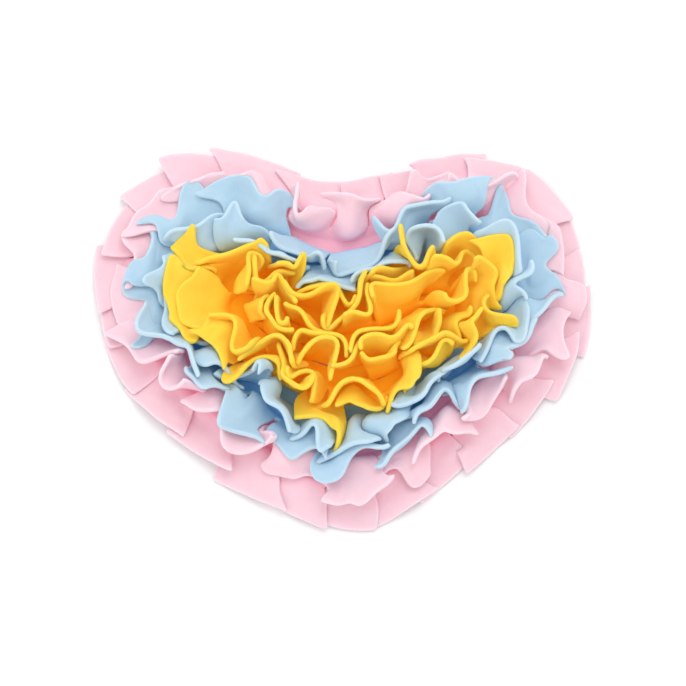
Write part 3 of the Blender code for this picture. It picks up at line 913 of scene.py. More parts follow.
@dataclass
class Ruffle:
    """One row of the mat: a sewn strip with its slit tabs, and the margin that lies on the base."""

    row: Row
    number: int
    plan: HeartPlan
    cloth: Cloth
    rippling: Rippling
    base_top: float
    press: Press = field(default_factory=Press)
    slit: float = 0.25  # share of a tab's length that stays uncut
    net_start: float = 0.5  # share of that where a net's lowest level lies
    stitch_gap: float = 0.3  # between the base and the foot of the strip
    root_gap: float = 2.6  # between the feet of neighbouring tabs
    fold_growth: float = 1.2  # power by which the folds deepen up a tab
    foot_gap: float = 1.35  # from a margin's edge to the foot of the next row
    core_gap: float = 1.65  # added to it beside the core, from the notch to the tip
    tip_gap: float = 0.3  # in its place past the core's ends
    core_clear: float = 4.0  # degrees from an end of the core to there
    stand: float = 4.4  # run at which the strip has left the bend over its margin
    seat: float = 0.1  # between the base and the margin
    floor: float = 0.3  # between the floor and a tab that lies on it
    settle: float = 1.5  # softness of a tab's landing on the floor
    lap: float = 7.0  # how much wider a flat tab is cut where it laps its neighbour
    lap_drop: float = 3.0  # least difference in height for a lap
    lap_curl: float = 70.0  # a tab that curls more doesn't lap
    lap_lean: float = 60.0  # nor does a row that leans less
    lap_from: float = 0.15  # share of the length where a lap begins
    lap_rise: float = 0.35  # and over which it widens
    coarse_cells: tuple[int, int] = (25, 41)
    margin_levels: int = 4
    bend_levels: int = 4
    foot_levels: int = 3
    tab_levels: int = 17
    tab_columns: int = 24
    path: tuple[Grid, Grid] = field(init=False)
    spots: list[Spot] = field(init=False)
    twists: Grid = field(init=False)
    shapes: list[Tab] = field(init=False)  # the tabs with their swivels and nudges
    shifts: Optional[Grid] = None  # how far the crowd has moved each tab's net

    def __post_init__(self) -> None:
        """Lays the free edge out, shares it between the tabs, and draws their twists and swivels."""
        self.path = self.free_path()
        self.spots = self.stand_tabs()
        tabs, sway = self.row.tabs, self.row.sway
        dice = np.random.default_rng(self.number + SHAPE_SEED)
        self.twists = np.radians(sway.twist) * dice.uniform(-1, 1, len(tabs))
        swivels = sway.swivel * dice.uniform(-1, 1, len(tabs))
        self.shapes = [replace(tab, curl=tab.curl * sway.curl, turn=tab.turn + swivel)
                       for tab, swivel in zip(tabs, swivels)]
        for nudge in self.row.nudges:
            tab = tabs[nudge.tab]
            self.shapes[nudge.tab] = replace(tab, curl=nudge.curl, turn=tab.turn + nudge.swivel)

    @property
    def closed(self) -> bool:
        """Whether the strip closes round the heart; only the core row has two ends."""
        return self.row.level > 0

    def free_path(self) -> tuple[Grid, Grid]:
        """Angles along the row's free edge, twice round, and the length run up to each of them."""
        ends = (-np.pi, 3 * np.pi) if self.closed else (-np.radians(CORE_END), np.radians(CORE_END))
        angle = np.linspace(*ends, 6 * SAMPLES)
        size = np.mean([tab.length for tab in self.row.tabs])
        outwards = np.array([self.standing(size, 0, one, size)[0] for one in angle])
        reach = self.row.level * self.plan.rays(angle)[2] + outwards
        return angle, running_sum(self.plan.pace(angle, reach), ends[1] - ends[0])

    def stand_tabs(self) -> list[Spot]:
        """Shares the free edge out between the tabs, each as wide as its folds, with even gaps."""
        angle, run = self.path
        row = self.row
        folds = [self.fold(tab, np.linspace(-0.5, 0.5, SAMPLES))[0] for tab in row.tabs]
        low, high = np.array([(fold.min(), fold.max()) for fold in folds]).T
        total = (run[-1] - run[0]) / (2 if self.closed else 1)
        gap = (total - (high - low).sum()) / len(row.tabs)
        first = np.interp(np.radians(row.first), angle, run) if self.closed else gap / 2 - low[0]
        centres = first + np.concatenate([[0], np.cumsum(high[:-1] + gap - low[1:])])
        bearings, starts, ends = (np.interp(edge, run, angle)
                                  for edge in (centres, centres + low - gap / 2, centres + high + gap / 2))
        middle = (starts + ends) / 2
        trim = self.root_gap / 2 / self.plan.pace(middle, row.level * self.plan.rays(middle)[2])
        return [Spot(*spot) for spot in zip(centres, bearings, starts + trim, ends - trim)]

    def standing(self, length: float, tab_lean: float, angle: float, run: Grid) -> tuple[Grid, Grid, Grid]:
        """Distance outwards, height and lean at these runs up a strip that stands on its foot.

        The lean goes from root to rim on a smooth ramp, plus the tab's own by its share of the length; its
        sines and cosines are summed, and run straight on past the end.

        Args:
            length: the tab's length in mm.
            tab_lean: the tab's own lean in degrees.
            angle: bearing round the heart, in radians.
            run: millimetres up the strip.

        Returns:
            Millimetres outwards and up, and the lean in radians.
        """
        row, share = self.row, run / length
        fine = np.linspace(0, 1, SAMPLES)
        rim = row.rim_lean + self.plan.notch_share(angle) * (row.notch_lean - row.rim_lean)
        lean = np.radians(row.root_lean + (rim - row.root_lean) * smooth(fine / row.bend) + tab_lean * fine)
        beyond = np.maximum(share - 1, 0) * length
        outwards, height = (np.interp(share, fine, running_sum(part, length)) + beyond * part[-1]
                            for part in (np.sin(lean), np.cos(lean)))
        return outwards, self.base_top + self.stitch_gap + height, np.interp(share, fine, lean)

    def bend(self, tab: Tab, angle: float) -> Bend:
        """The arc under the standing part; its radius brings the margin down onto the base.

        Args:
            tab: the tab above it.
            angle: bearing round the heart, in radians.

        Returns:
            The arc.
        """
        out, height, lean = self.standing(tab.length, tab.lean, angle, self.stand)
        seat = self.base_top + self.seat + self.cloth.thickness / 2
        radius = (height - seat) / (1 - np.sin(lean))
        return Bend(out, height, lean, radius, self.stand - radius * (np.pi / 2 - lean))

    def climb(self, tab: Tab, angle: float, run: Grid, upright: bool) -> tuple[Grid, ...]:
        """Distance outwards, height and lean at these runs up the strip.

        An upright strip stands on its foot. Otherwise that holds above stand only: below, the lean grows
        evenly with the run to 90 degrees, an arc, and then stays, so the margin lies flat.

        Args:
            tab: the tab.
            angle: bearing round the heart, in radians.
            run: millimetres up the strip.
            upright: whether the strip stands straight on its foot.

        Returns:
            Millimetres outwards and up, and the lean in radians.
        """
        above = self.standing(tab.length, tab.lean, angle, run)
        if upright:
            return above
        bend = self.bend(tab, angle)
        turn = np.minimum(bend.lean + (self.stand - run) / bend.radius, np.pi / 2)
        flat = np.maximum(bend.foot - run, 0)
        below = (bend.out - bend.radius * (np.cos(bend.lean) - np.cos(turn)) - flat,
                 bend.height - bend.radius * (np.sin(turn) - np.sin(bend.lean)),
                 bend.lean)
        return tuple(np.where(run < self.stand, low, high) for low, high in zip(below, above))

    @staticmethod
    def fold(tab: Tab, across: Grid) -> tuple[Grid, Grid]:
        """Free edge of a tab seen from above, along the row and outwards, at shares of its width.

        The heading is turn + curl * share + wave * cos(one turn over the width); the path is its sum, and
        runs straight on past both ends.

        Args:
            tab: the tab.
            across: shares of the width, from -0.5 to 0.5.

        Returns:
            Millimetres along the row and outwards.
        """
        fine = np.linspace(-0.5, 0.5, SAMPLES)
        heading = np.radians(tab.turn + tab.curl * fine + tab.wave * np.cos(2 * np.pi * fine))
        path = []
        for part in (np.cos(heading), np.sin(heading)):
            run = running_sum(part, tab.width)
            beyond = np.maximum(across - 0.5, 0) * part[-1] + np.minimum(across + 0.5, 0) * part[0]
            path.append(np.interp(across, fine, run - run.mean()) + tab.width * beyond)
        return path[0], path[1] + tab.out

    def laps(self, number: int) -> tuple[float, float]:
        """How much wider a tab is cut at both sides, where it and its neighbour lie flat at two heights.

        Args:
            number: the tab's number.

        Returns:
            Millimetres at its first and at its last side.
        """
        tabs, found, leans = self.row.tabs, [], self.row.rim_lean > self.lap_lean
        for first in (number - 1, number):
            before, after = tabs[first], tabs[(first + 1) % len(tabs)]
            drop = self.fold(before, np.array(0.5))[1] - self.fold(after, np.array(-0.5))[1]
            flat = max(abs(before.curl), abs(after.curl)) <= self.lap_curl
            found.append(self.lap if leans and flat and abs(drop) >= self.lap_drop else 0.0)
        return found[0], found[1]

    def polar(self, number: int, run: Grid, column: Grid, upright: bool) -> Grid:
        """Angle, reach and height of a tab's smooth middle surface, before the press.

        A point starts on the sewn row at its share of the foot. As it climbs it moves over to the free
        edge's path, and its distance from the row is measured square to the leaning strip. The twist slides
        it along the row by its way up, and up by its way across, both growing from the foot.

        Args:
            number: the tab's number.
            run: (level, column) or (level, 1) millimetres up the strip.
            column: shares of the width, from -0.5 to 0.5.
            upright: whether it is the tab as in the table, straight on its foot, with no laps or twist.

        Returns:
            (3, level, column) polar points.
        """
        angles, runs = self.path
        tab, twist, laps = self.shapes[number], self.twists[number], self.laps(number)
        if upright:
            tab, twist, laps = self.row.tabs[number], 0.0, (0.0, 0.0)
        spot = self.spots[number]
        share = np.clip(run / tab.length, 0, 1)
        lifted = run - twist * share * tab.width * column
        outwards, height, lean = self.climb(tab, spot.bearing, lifted, upright)
        wider = np.where(column < 0, *laps) / tab.width
        growth = smooth((share - self.lap_from) / self.lap_rise)
        along, off = self.fold(tab, column * (1 + 2 * wider * growth))
        free = np.interp(spot.centre + along + twist * run * share, runs, angles)
        root = spot.start + (spot.end - spot.start) * (column + 0.5)
        angle = root + (free - root) * share
        off = off * share ** self.fold_growth
        reach = self.row.level * self.plan.rays(angle)[2] + outwards + off * np.cos(lean)
        return np.stack([angle, reach, height - off * np.sin(lean)])

    def coarse(self) -> Grid:
        """(3, tab, level, column) polar points of every upright tab on an even grid, for the press."""
        levels, columns = self.coarse_cells
        share, column = np.linspace(0, 1, levels)[:, None], np.linspace(-0.5, 0.5, columns)
        return np.stack([self.polar(number, share * tab.length, column, True)
                         for number, tab in enumerate(self.row.tabs)], 1)

    def smooth_points(self, number: int, run: Grid, column: Grid) -> Grid:
        """Points of a tab's smooth middle surface, pressed and rippled, at these runs and columns."""
        angle, reach, height = self.press.give_way(self.polar(number, run, column, False))
        return self.rippling.slide(raised(self.plan.place(angle, reach), height))

    def net_levels(self, tab: Tab, levels: int) -> Grid:
        """Runs of a net's levels."""
        return np.linspace(self.slit * tab.length * self.net_start, tab.length, levels)

    def nets(self, levels: int, columns: int) -> Grid:
        """(tab, level, column, 3) knots of the smooth tabs, evenly spaced over each.

        Args:
            levels: knots up each tab.
            columns: knots across it.

        Returns:
            The knots in mm.
        """
        column = np.linspace(-0.5, 0.5, columns)
        return np.stack([self.smooth_points(number, self.net_levels(tab, levels)[:, None], column)
                         for number, tab in enumerate(self.row.tabs)])

    def shift(self, number: int, run: Grid, column: Grid) -> Grid:
        """How far the crowd has moved the points at these runs and columns, read between the knots.

        Args:
            number: the tab's number.
            run: (level, column) millimetres up the strip.
            column: shares of the width, from -0.5 to 0.5.

        Returns:
            (level, column, 3) shifts in mm.
        """
        levels, columns = self.shifts.shape[1:3]
        start, end = self.net_levels(self.row.tabs[number], 2)
        up = spline_weights((run - start) / (end - start) * (levels - 1), levels)
        along = spline_weights((column + 0.5) * (columns - 1), columns)
        return np.einsum("rcl,ck,lkx->rcx", up, along, self.shifts[number], optimize=True)

    def runs(self, tab: Tab, angle: float, side: Grid, radius: float) -> Grid:
        """Millimetres up the strip of every level and column.

        The levels crowd at the margin's edge, at the foot of the slits and at the free edge, whose corners
        round off: there a column ends lower, by a quarter circle over its distance from the side.

        Args:
            tab: the tab.
            angle: bearing round the heart, in radians.
            side: millimetres from each column to the nearer side.
            radius: radius of the corners in mm.

        Returns:
            (level, column) runs.
        """
        rim, steps = self.cloth.rim, np.array(self.cloth.rim_steps)
        bend = self.bend(tab, angle)
        start, slit = bend.foot - self.margin(bend, angle), self.slit * tab.length
        below = np.concatenate([
            start + steps,
            np.linspace(start + rim, bend.foot, self.margin_levels),
            np.linspace(bend.foot, self.stand, self.bend_levels + 1)[1:],
            np.linspace(self.stand, slit - rim, self.foot_levels + 1)[1:],
            slit - steps[::-1],
        ])
        end = tab.length - radius + np.sqrt(radius**2 - np.clip(radius - side, 0, radius) ** 2)
        climb = np.linspace(0, 1, self.tab_levels + 1)[1:, None]
        above = slit + (end - rim - slit) * climb
        return np.vstack([np.repeat(below[:, None], len(side), 1), above, end - steps[::-1, None]])

    @property
    def slit_level(self) -> int:
        """Level at the foot of the slits."""
        return 2 * len(self.cloth.rim_steps) + self.margin_levels + self.bend_levels + self.foot_levels - 1

    def margin(self, bend: Bend, angle: float) -> float:
        """Width of the margin: the row's own, or what is left before the foot of the next row inwards.

        Args:
            bend: the arc above it.
            angle: bearing round the heart, in radians.

        Returns:
            The width in mm.
        """
        if not self.closed:
            return self.row.margin
        inner, clear = ROWS[self.number + 1].level, self.foot_gap
        if not inner:
            past_core = abs(np.sin(angle)) > np.sin(np.radians(CORE_END + self.core_clear))
            clear = self.tip_gap if past_core else self.foot_gap + self.core_gap * (1 - np.cos(angle))
        back = bend.radius * np.cos(bend.lean) - bend.out
        return min(self.row.margin, (self.row.level - inner) * self.plan.rays(angle)[2] - clear - back)

    def tab_grids(self, number: int) -> dict[str, Grid]:
        """Middle surface, normals, half thickness and marks of one tab with its stretch of margin.

        Args:
            number: the tab's number.

        Returns:
            A (level, column) grid of each, by name.
        """
        tab, rim = self.row.tabs[number], self.cloth.rim
        dice = np.random.default_rng((self.number, number))
        steps = np.array(self.cloth.rim_steps) / tab.width
        inner = np.linspace(rim / tab.width - 0.5, 0.5 - rim / tab.width, self.tab_columns)
        column = np.concatenate([steps - 0.5, inner, 0.5 - steps[::-1]])
        side = (tab.width + sum(self.laps(number))) * (0.5 - np.abs(column))
        run = self.runs(tab, self.spots[number].bearing, side, dice.uniform(*self.cloth.corner))
        points = self.smooth_points(number, run, column) + self.shift(number, run, column)
        share = run / tab.length
        lift = self.cloth.uneven(run, tab.width * column, share, column, dice)
        points += normals_of(points) * lift[..., None]
        slit = self.slit * tab.length
        points[..., 2] = np.where(run > slit, self.landed(points[..., 2]), points[..., 2])
        beside_slit = np.where(run < slit, np.hypot(side, slit - run), side)
        distance = np.minimum(np.minimum(run[-1] - run, run - run[0]), beside_slit)
        return {
            "middle": points,
            "normal": normals_of(points),
            "half": self.cloth.half(distance),
            # edge and rise are masks for the painted highlight on the cut edges and the painted shade and
            # glow near the foot
            "edge": 1 - smooth(distance / rim),
            "rise": np.clip(share, 0, 1),
            "nap": np.full(run.shape, dice.uniform(-1, 1)),
        }

    def landed(self, height: Grid) -> Grid:
        """Heights kept above the floor by a soft knee: half of what is over it plus its softened size.

        Args:
            height: heights in mm.

        Returns:
            The heights where the cloth rests.
        """
        low = self.floor + self.cloth.thickness / 2
        over = height - low
        return low + (over + np.sqrt(over**2 + self.settle**2)) / 2

    def sheet(self) -> ThickSheet:
        """The whole strip, its tabs side by side."""
        tabs = [self.tab_grids(number) for number in range(len(self.row.tabs))]
        whole = {key: np.concatenate([tab[key] for tab in tabs], 1) for key in tabs[0]}
        last = np.cumsum([tab["half"].shape[1] for tab in tabs]) - 1
        return ThickSheet(whole, last, self.slit_level, self.closed)

    def flat_size(self) -> tuple[Range, float]:
        """Width and length, and area, in metres of the strip as it was cut, laid flat."""
        tabs = self.row.tabs
        margins = [self.margin(self.bend(tab, spot.bearing), spot.bearing)
                   for tab, spot in zip(tabs, self.spots)]
        below = float(np.mean(margins)) + self.stand
        width = sum(tab.width for tab in tabs) * MM
        length = (max(tab.length for tab in tabs) + below) * MM
        return (width, length), sum(tab.width * (tab.length + below) for tab in tabs) * MM * MM

    def build(self, finish: "FleeceFinish") -> bpy.types.Object:
        """Adds the ruffle to the scene in place of its plain solid, and works out its flat size and area.

        Args:
            finish: the look of its fleece.

        Returns:
            The piece.
        """
        piece = add_piece(self.row.name + "_fleece", self.sheet().mesh(self.row.name), finish.material())
        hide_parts(self.row.name)
        flat, area = self.flat_size()
        return piece


def add_object(name: str, data: Any) -> bpy.types.Object:
    """Puts new data into the scene, at the origin.

    Args:
        name: the object's name.
        data: a mesh, light or camera.

    Returns:
        The object.
    """
    thing = bpy.data.objects.new(name, data)
    bpy.context.scene.collection.objects.link(thing)
    return thing


def add_piece(name: str, mesh: bpy.types.Mesh, material: bpy.types.Material) -> bpy.types.Object:
    """Puts a mesh into the scene with its material, riding on the mat's one body.

    Args:
        name: the piece's name.
        mesh: its mesh, in metres.
        material: its finish.

    Returns:
        The piece.
    """
    mesh.materials.append(material)
    piece = add_object(name, mesh)
    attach(piece, BODY)
    return piece


Value = Union["Wire", float]


def operator(operation: str, swapped: bool = False) -> Callable[["Wire", Value], "Wire"]:
    """A method for wires that adds this Math node, with the wire second where swapped.

    Args:
        operation: the Math node's operation.
        swapped: whether the other value comes first, as the reflected forms need.

    Returns:
        The method.
    """

    def method(wire: "Wire", other: Value) -> "Wire":
        """Adds the node for this wire and the other value."""
        first, second = (other, wire) if swapped else (wire, other)
        return wire.shader.node("Math", {"operation": operation}, {0: first, 1: second})

    return method


@dataclass(frozen=True)
class Wire:
    """An output socket of a node. Arithmetic on it adds Math nodes beside it."""

    shader: "Shader"
    socket: bpy.types.NodeSocket

    __add__, __radd__ = operator("ADD"), operator("ADD", True)
    __sub__, __rsub__ = operator("SUBTRACT"), operator("SUBTRACT", True)
    __mul__, __rmul__ = operator("MULTIPLY"), operator("MULTIPLY", True)


class Shader:
    """A material that is wired up as Python expressions."""

    def __init__(self, name: str) -> None:
        """Makes the material with an empty tree.

        Args:
            name: the material's name.
        """
        self.material = bpy.data.materials.new(name)
        self.material.use_nodes = True
        self.tree = self.material.node_tree
        self.tree.nodes.clear()

    def node(self, kind: str, settings: Optional[dict[str, Any]] = None,
             sockets: Optional[dict[Union[int, str], Any]] = None, output: Union[int, str] = 0) -> Wire:
        """Adds a node.

        Args:
            kind: its type without "ShaderNode".
            settings: its properties, which are set first.
            sockets: a value or a wire for each input, by name or number.
            output: the output that is wanted.

        Returns:
            That output.
        """
        made = self.tree.nodes.new("ShaderNode" + kind)
        for name, value in (settings or {}).items():
            setattr(made, name, value)
        for name, value in (sockets or {}).items():
            if isinstance(value, Wire):
                self.tree.links.new(value.socket, made.inputs[name])
            else:
                made.inputs[name].default_value = value
        return Wire(self, made.outputs[output])

    def spread(self, value: Wire, low: float, high: float) -> Wire:
        """0 at low and below, 1 at high and above, smooth in between."""
        return self.node("MapRange", {"interpolation_type": "SMOOTHSTEP"},
                         {"Value": value, "From Min": low, "From Max": high})

    def mark(self, name: str) -> Wire:
        """An attribute of the mesh's points."""
        return self.node("Attribute", {"attribute_name": name}, output="Fac")

    def place(self) -> Wire:
        """Object coordinates, in metres."""
        return self.node("TexCoord", output="Object")

    def noise(self, place: Wire, size: float, detail: float = 2.0, rough: float = 0.5) -> Wire:
        """Noise from 0 to 1 with patches of about this size in metres."""
        return self.node("TexNoise", None, {"Vector": place, "Scale": 1 / size, "Detail": detail,
                                            "Roughness": rough})

    def blend(self, share: Value, first: Union[Wire, Colour], second: Union[Wire, Colour]) -> Wire:
        """The first colour, going over to the second as the share goes from 0 to 1."""
        colours = [colour if isinstance(colour, Wire) else (*colour, 1.0) for colour in (first, second)]
        return self.node("Mix", {"data_type": "RGBA"}, {0: share, 6: colours[0], 7: colours[1]}, output=2)

    def bump(self, height: Wire, strength: float, depth: float) -> Wire:
        """Normals that follow a height from 0 to 1, this many metres deep."""
        return self.node("Bump", None, {"Strength": strength, "Distance": depth, "Height": height})

    def finish(self, sockets: dict[Union[int, str], Any]) -> bpy.types.Material:
        """Ends the tree in a Principled BSDF with these sockets, and gives back the material.

        Args:
            sockets: a value or a wire for each socket that isn't left as it is.

        Returns:
            The material.
        """
        skin = self.node("BsdfPrincipled", None, sockets)
        out = self.tree.nodes.new("ShaderNodeOutputMaterial")
        self.tree.links.new(skin.socket, out.inputs["Surface"])
        return self.material


@dataclass(frozen=True)
class FleeceFinish:
    """Matte brushed fleece: nap, pilled specks, a paler cut edge that is a painted highlight, and a painted
    shade of richer tone and a painted glow down in the folds.
    """

    name: str
    face: Colour
    # colour of the painted shade at the foot of the folds, also used in the darker random patches
    fold_shade_and_patch: Colour
    # colour of the painted highlight along the cut edges, also the sheen's tint
    edge: Colour
    # colour of the painted glow that the folds give off as emission
    painted_glow: Colour
    fuzz: float = 0.0011  # sizes of its noises in metres
    pile: float = 0.0030
    patch: float = 0.022
    patch_tone: float = 0.10  # how far each noise and the nap shift the tone
    fuzz_tone: float = 0.16
    pile_tone: float = 0.10
    nap_tone: float = 0.03
    tone_span: float = 0.12  # shift at which the tone is palest, and darkest the other way
    foot: Range = (0.0, 0.5)  # shares of the length over which the painted shade at the foot gives way
    fold: Range = (0.3, 1.0)  # and over which the painted glow in the folds fades out
    foot_shade_share: float = 0.8  # most of the painted shade at the foot
    shade: float = 0.22  # most of the same colour in the darker random patches
    # how far the cut edges are paled towards the edge colour: a painted highlight
    painted_edge_highlight: float = 0.55
    sheen: float = 0.30
    glow: float = 0.55  # share of light that passes into the cloth
    glow_depth: float = 0.006
    fold_glow: float = 0.11  # strength of the painted glow, an emission down in the folds
    rough: Range = (0.86, 0.12)  # roughness, and what the fuzz adds to it
    relief: Range = (0.6, 0.4)  # shares of fuzz and pile in the relief
    relief_depth: float = 0.0007

    def material(self) -> bpy.types.Material:
        """Wires the finish: painted shade at the foot and a painted glow in the folds, patches and nap that
        shift the face colour, a painted highlight on the cut edges, and fuzz and pile that lift the surface.
        """
        shader = Shader(self.name)
        place = shader.place()
        fuzz = shader.noise(place, self.fuzz, 4.0, 0.7)
        pile = shader.noise(place, self.pile, 3.0, 0.6)
        patch = shader.noise(place, self.patch, 2.0)
        # painted shade: 1 at the foot of each tab, down in the folds, fading up its length
        low = 1 - shader.spread(shader.mark("rise"), *self.foot)
        # painted glow: 1 low in the folds, fading to 0 at the free edge
        painted_glow_share = 1 - shader.spread(shader.mark("rise"), *self.fold)
        colour = shader.blend(low * self.foot_shade_share, self.face, self.fold_shade_and_patch)
        tone = self.patch_tone * (patch - 0.5) + self.fuzz_tone * (fuzz - 0.5) + self.pile_tone * (pile - 0.5)
        pale = shader.spread(tone + self.nap_tone * shader.mark("nap"), -self.tone_span, self.tone_span)
        colour = shader.blend(self.shade * (1 - pale), colour, self.fold_shade_and_patch)
        # painted highlight: paler along the cut edges
        colour = shader.blend(self.painted_edge_highlight * shader.mark("edge"), colour, self.edge)
        height = self.relief[0] * fuzz + self.relief[1] * pile
        return shader.finish({
            "Base Color": colour,
            "Roughness": self.rough[0] + self.rough[1] * fuzz,
            "Subsurface Weight": self.glow,
            "Subsurface Radius": self.face,
            "Subsurface Scale": self.glow_depth,
            # painted glow: emission down in the folds
            "Emission Color": shader.blend(painted_glow_share, (0.0, 0.0, 0.0), self.painted_glow),
            "Emission Strength": self.fold_glow,
            "Sheen Weight": self.sheen,
            "Sheen Roughness": 0.45,
            "Sheen Tint": (*self.edge, 1.0),
            "Specular IOR Level": 0.12,
            "Normal": shader.bump(height, 0.55, self.relief_depth),
        })


@dataclass(frozen=True)
class FeltFinish:
    """Pressed felt: short fibres in all directions and faint clouds of colour."""

    name: str
    face: Colour
    fibre: Colour
    fibres: float = 0.0012  # sizes of its noises in metres
    clouds: float = 0.030
    fibre_share: Range = (0.35, 0.65)  # tone at which the fibre's colour starts, and where it is full

    def material(self) -> bpy.types.Material:
        """Wires the finish from fine fibres over broad clouds."""
        shader = Shader(self.name)
        place = shader.place()
        fibre = shader.noise(place, self.fibres, 6.0, 0.75)
        cloud = shader.noise(place, self.clouds, 3.0)
        share = shader.spread(0.7 * fibre + 0.3 * cloud, *self.fibre_share)
        return shader.finish({
            "Base Color": shader.blend(share, self.face, self.fibre),
            "Roughness": 0.90 + 0.08 * fibre,
            "Sheen Weight": 0.25,
            "Sheen Roughness": 0.5,
            "Specular IOR Level": 0.12,
            "Normal": shader.bump(fibre, 0.6, 0.0005),
        })


@dataclass(frozen=True)
class ThreadFinish:
    """Spun sewing thread with a faint twist in its tone."""

    name: str
    face: Colour
    shade: Colour
    strands: float = 0.0005  # size of its noise in metres

    def material(self) -> bpy.types.Material:
        """Wires the finish from one fine noise."""
        shader = Shader(self.name)
        strand = shader.noise(shader.place(), self.strands)
        return shader.finish({
            "Base Color": shader.blend(strand, self.face, self.shade),
            "Roughness": 0.55 + 0.2 * strand,
            "Specular IOR Level": 0.3,
            "Normal": shader.bump(strand, 0.4, 0.0002),
        })


# Each fleece: face colour, painted fold shade (also the darker patches), cut edge colour as painted
# highlight, painted glow in the folds
FINISHES = {
    Slot.PINK: FleeceFinish("pink fleece", (0.85, 0.63, 0.69), (0.90, 0.48, 0.58), (0.90, 0.71, 0.77),
                            (0.80, 0.15, 0.28)),
    Slot.BLUE: FleeceFinish("blue fleece", (0.49, 0.65, 0.75), (0.25, 0.52, 0.82), (0.58, 0.71, 0.79),
                            (0.01, 0.10, 0.22)),
    Slot.YELLOW: FleeceFinish("yellow fleece", (0.96, 0.65, 0.075), (1.00, 0.50, 0.015), (0.96, 0.63, 0.08),
                              (1.00, 0.34, 0.01)),
}
FELT = FeltFinish("base felt", (0.84, 0.56, 0.68), (0.90, 0.68, 0.78))
THREAD = ThreadFinish("seam thread", (0.93, 0.80, 0.86), (0.80, 0.60, 0.70))


@dataclass
class BasePanel:
    """Flat heart of felt under all rows, drawn in along the seams on its underside, in mm."""

    plan: HeartPlan
    thickness: float
    seams: tuple[float, ...]  # levels of the sewn rows
    inset: float  # from a row's foot inwards to its seam
    rim: float = 1.1  # rounding of its cut edge
    dent: float = 0.9  # depth of a seam on the underside
    dent_width: float = 1.7
    beside: tuple[float, ...] = (3.6, 2.2, 1.2, 0.5)  # distances of the rings on both sides of a seam
    crowding: float = 2.4  # times the farthest of them that two seams need between them
    fade: float = 6.0  # length over which the middle seam's dent runs out
    columns: int = 360
    top_rings: int = 12
    rim_rings: int = 9

    def bell(self, away: Grid) -> Grid:
        """Rise of the underside at this distance from a seam: a bell."""
        return self.dent * np.exp(-((away / self.dent_width) ** 2))

    def rings(self, angle: Grid) -> Grid:
        """(ring, bearing, 3) points from the middle seam out over the top and back in under it.

        The rim is a half oval, and the underside rises by a bell over its distance from each seam. Inside
        the innermost ring seam the rings run straight to the middle seam, and crowd where it comes near.

        Args:
            angle: evenly spaced bearings round the heart, in radians.

        Returns:
            The points in mm.
        """
        length = self.plan.rays(angle)[2]
        turn = np.linspace(np.pi / 2, -np.pi / 2, self.rim_rings)
        beside_seam = np.array(self.beside)
        level, offset = np.meshgrid(self.seams[:-1], [*beside_seam, 0, *-beside_seam[::-1]], indexing="ij")
        level, offset = level.ravel()[:-len(beside_seam)], offset.ravel()[:-len(beside_seam)]
        reach = np.concatenate([
            length + BASE_MARGIN - self.rim + self.rim * np.cos(turn)[:, None],
            level[:, None] * length - self.inset + offset[:, None],
        ])
        outer = self.plan.place(np.broadcast_to(angle, reach.shape), reach)
        edge, seam = outer[0], outer[-1]
        middle = self.plan.middle(angle, level[-1], -self.inset)
        gap = np.linalg.norm(seam - middle, axis=-1)
        crowded = np.minimum(gap / (self.crowding * beside_seam[0]), 1) / np.maximum(gap, MM)
        share = np.concatenate([beside_seam[::-1, None] * crowded, 1 - beside_seam[:, None] * crowded,
                                np.ones((1, len(gap)))])
        inner = seam + (middle - seam) * share[..., None]
        top = middle + (edge - middle) * np.linspace(0, 1, self.top_rings)[:-1, None, None]
        end = self.plan.spine_half * np.sin(np.radians(CORE_END))
        sewn = smooth((end - np.abs(middle[:, 0])) / self.fade + 0.5)
        plan = np.concatenate([top, outer, inner])
        height = np.concatenate([
            np.full(top.shape[:-1], self.thickness),
            np.broadcast_to(self.thickness / 2 * (1 + np.sin(turn))[:, None], (len(turn), len(gap))),
            np.broadcast_to(self.bell(offset)[:, None], (len(offset), len(gap))),
            np.maximum(self.bell(share * gap), sewn * self.bell((1 - share) * gap)),
        ])
        return raised(plan, height)

    def mesh(self) -> bpy.types.Mesh:
        """Carries the rings round the heart; both ends close along the middle seam, which is run twice."""
        column = np.arange(self.columns)
        points = self.rings(np.radians(column * 360 / self.columns))
        index = numbered(points)
        twin = np.minimum(column, (self.columns // 2 - column) % self.columns)
        index[0], index[-1] = index[0][twin], index[-1][twin]
        after = np.roll(index, -1, axis=1)
        faces = np.stack([index[:-1], index[1:], after[1:], after[:-1]], -1)
        return mesh_of(BASE_NODE, points, faces.reshape(-1, 4))

    def build(self) -> bpy.types.Object:
        """Adds the panel in place of its plain solid, and works out its area."""
        piece = add_piece("base_panel", self.mesh(), FELT.material())
        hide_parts(BASE_NODE)
        self.area()
        return piece

    def area(self) -> float:
        """Plan area in square metres, by the shoelace formula over its outline."""
        angle = np.radians(np.arange(self.columns) * 360 / self.columns)
        x, y = (self.plan.ring(angle, 1, BASE_MARGIN) * MM).T
        return float(abs(np.sum(x * np.roll(y, -1) - y * np.roll(x, -1))) / 2)


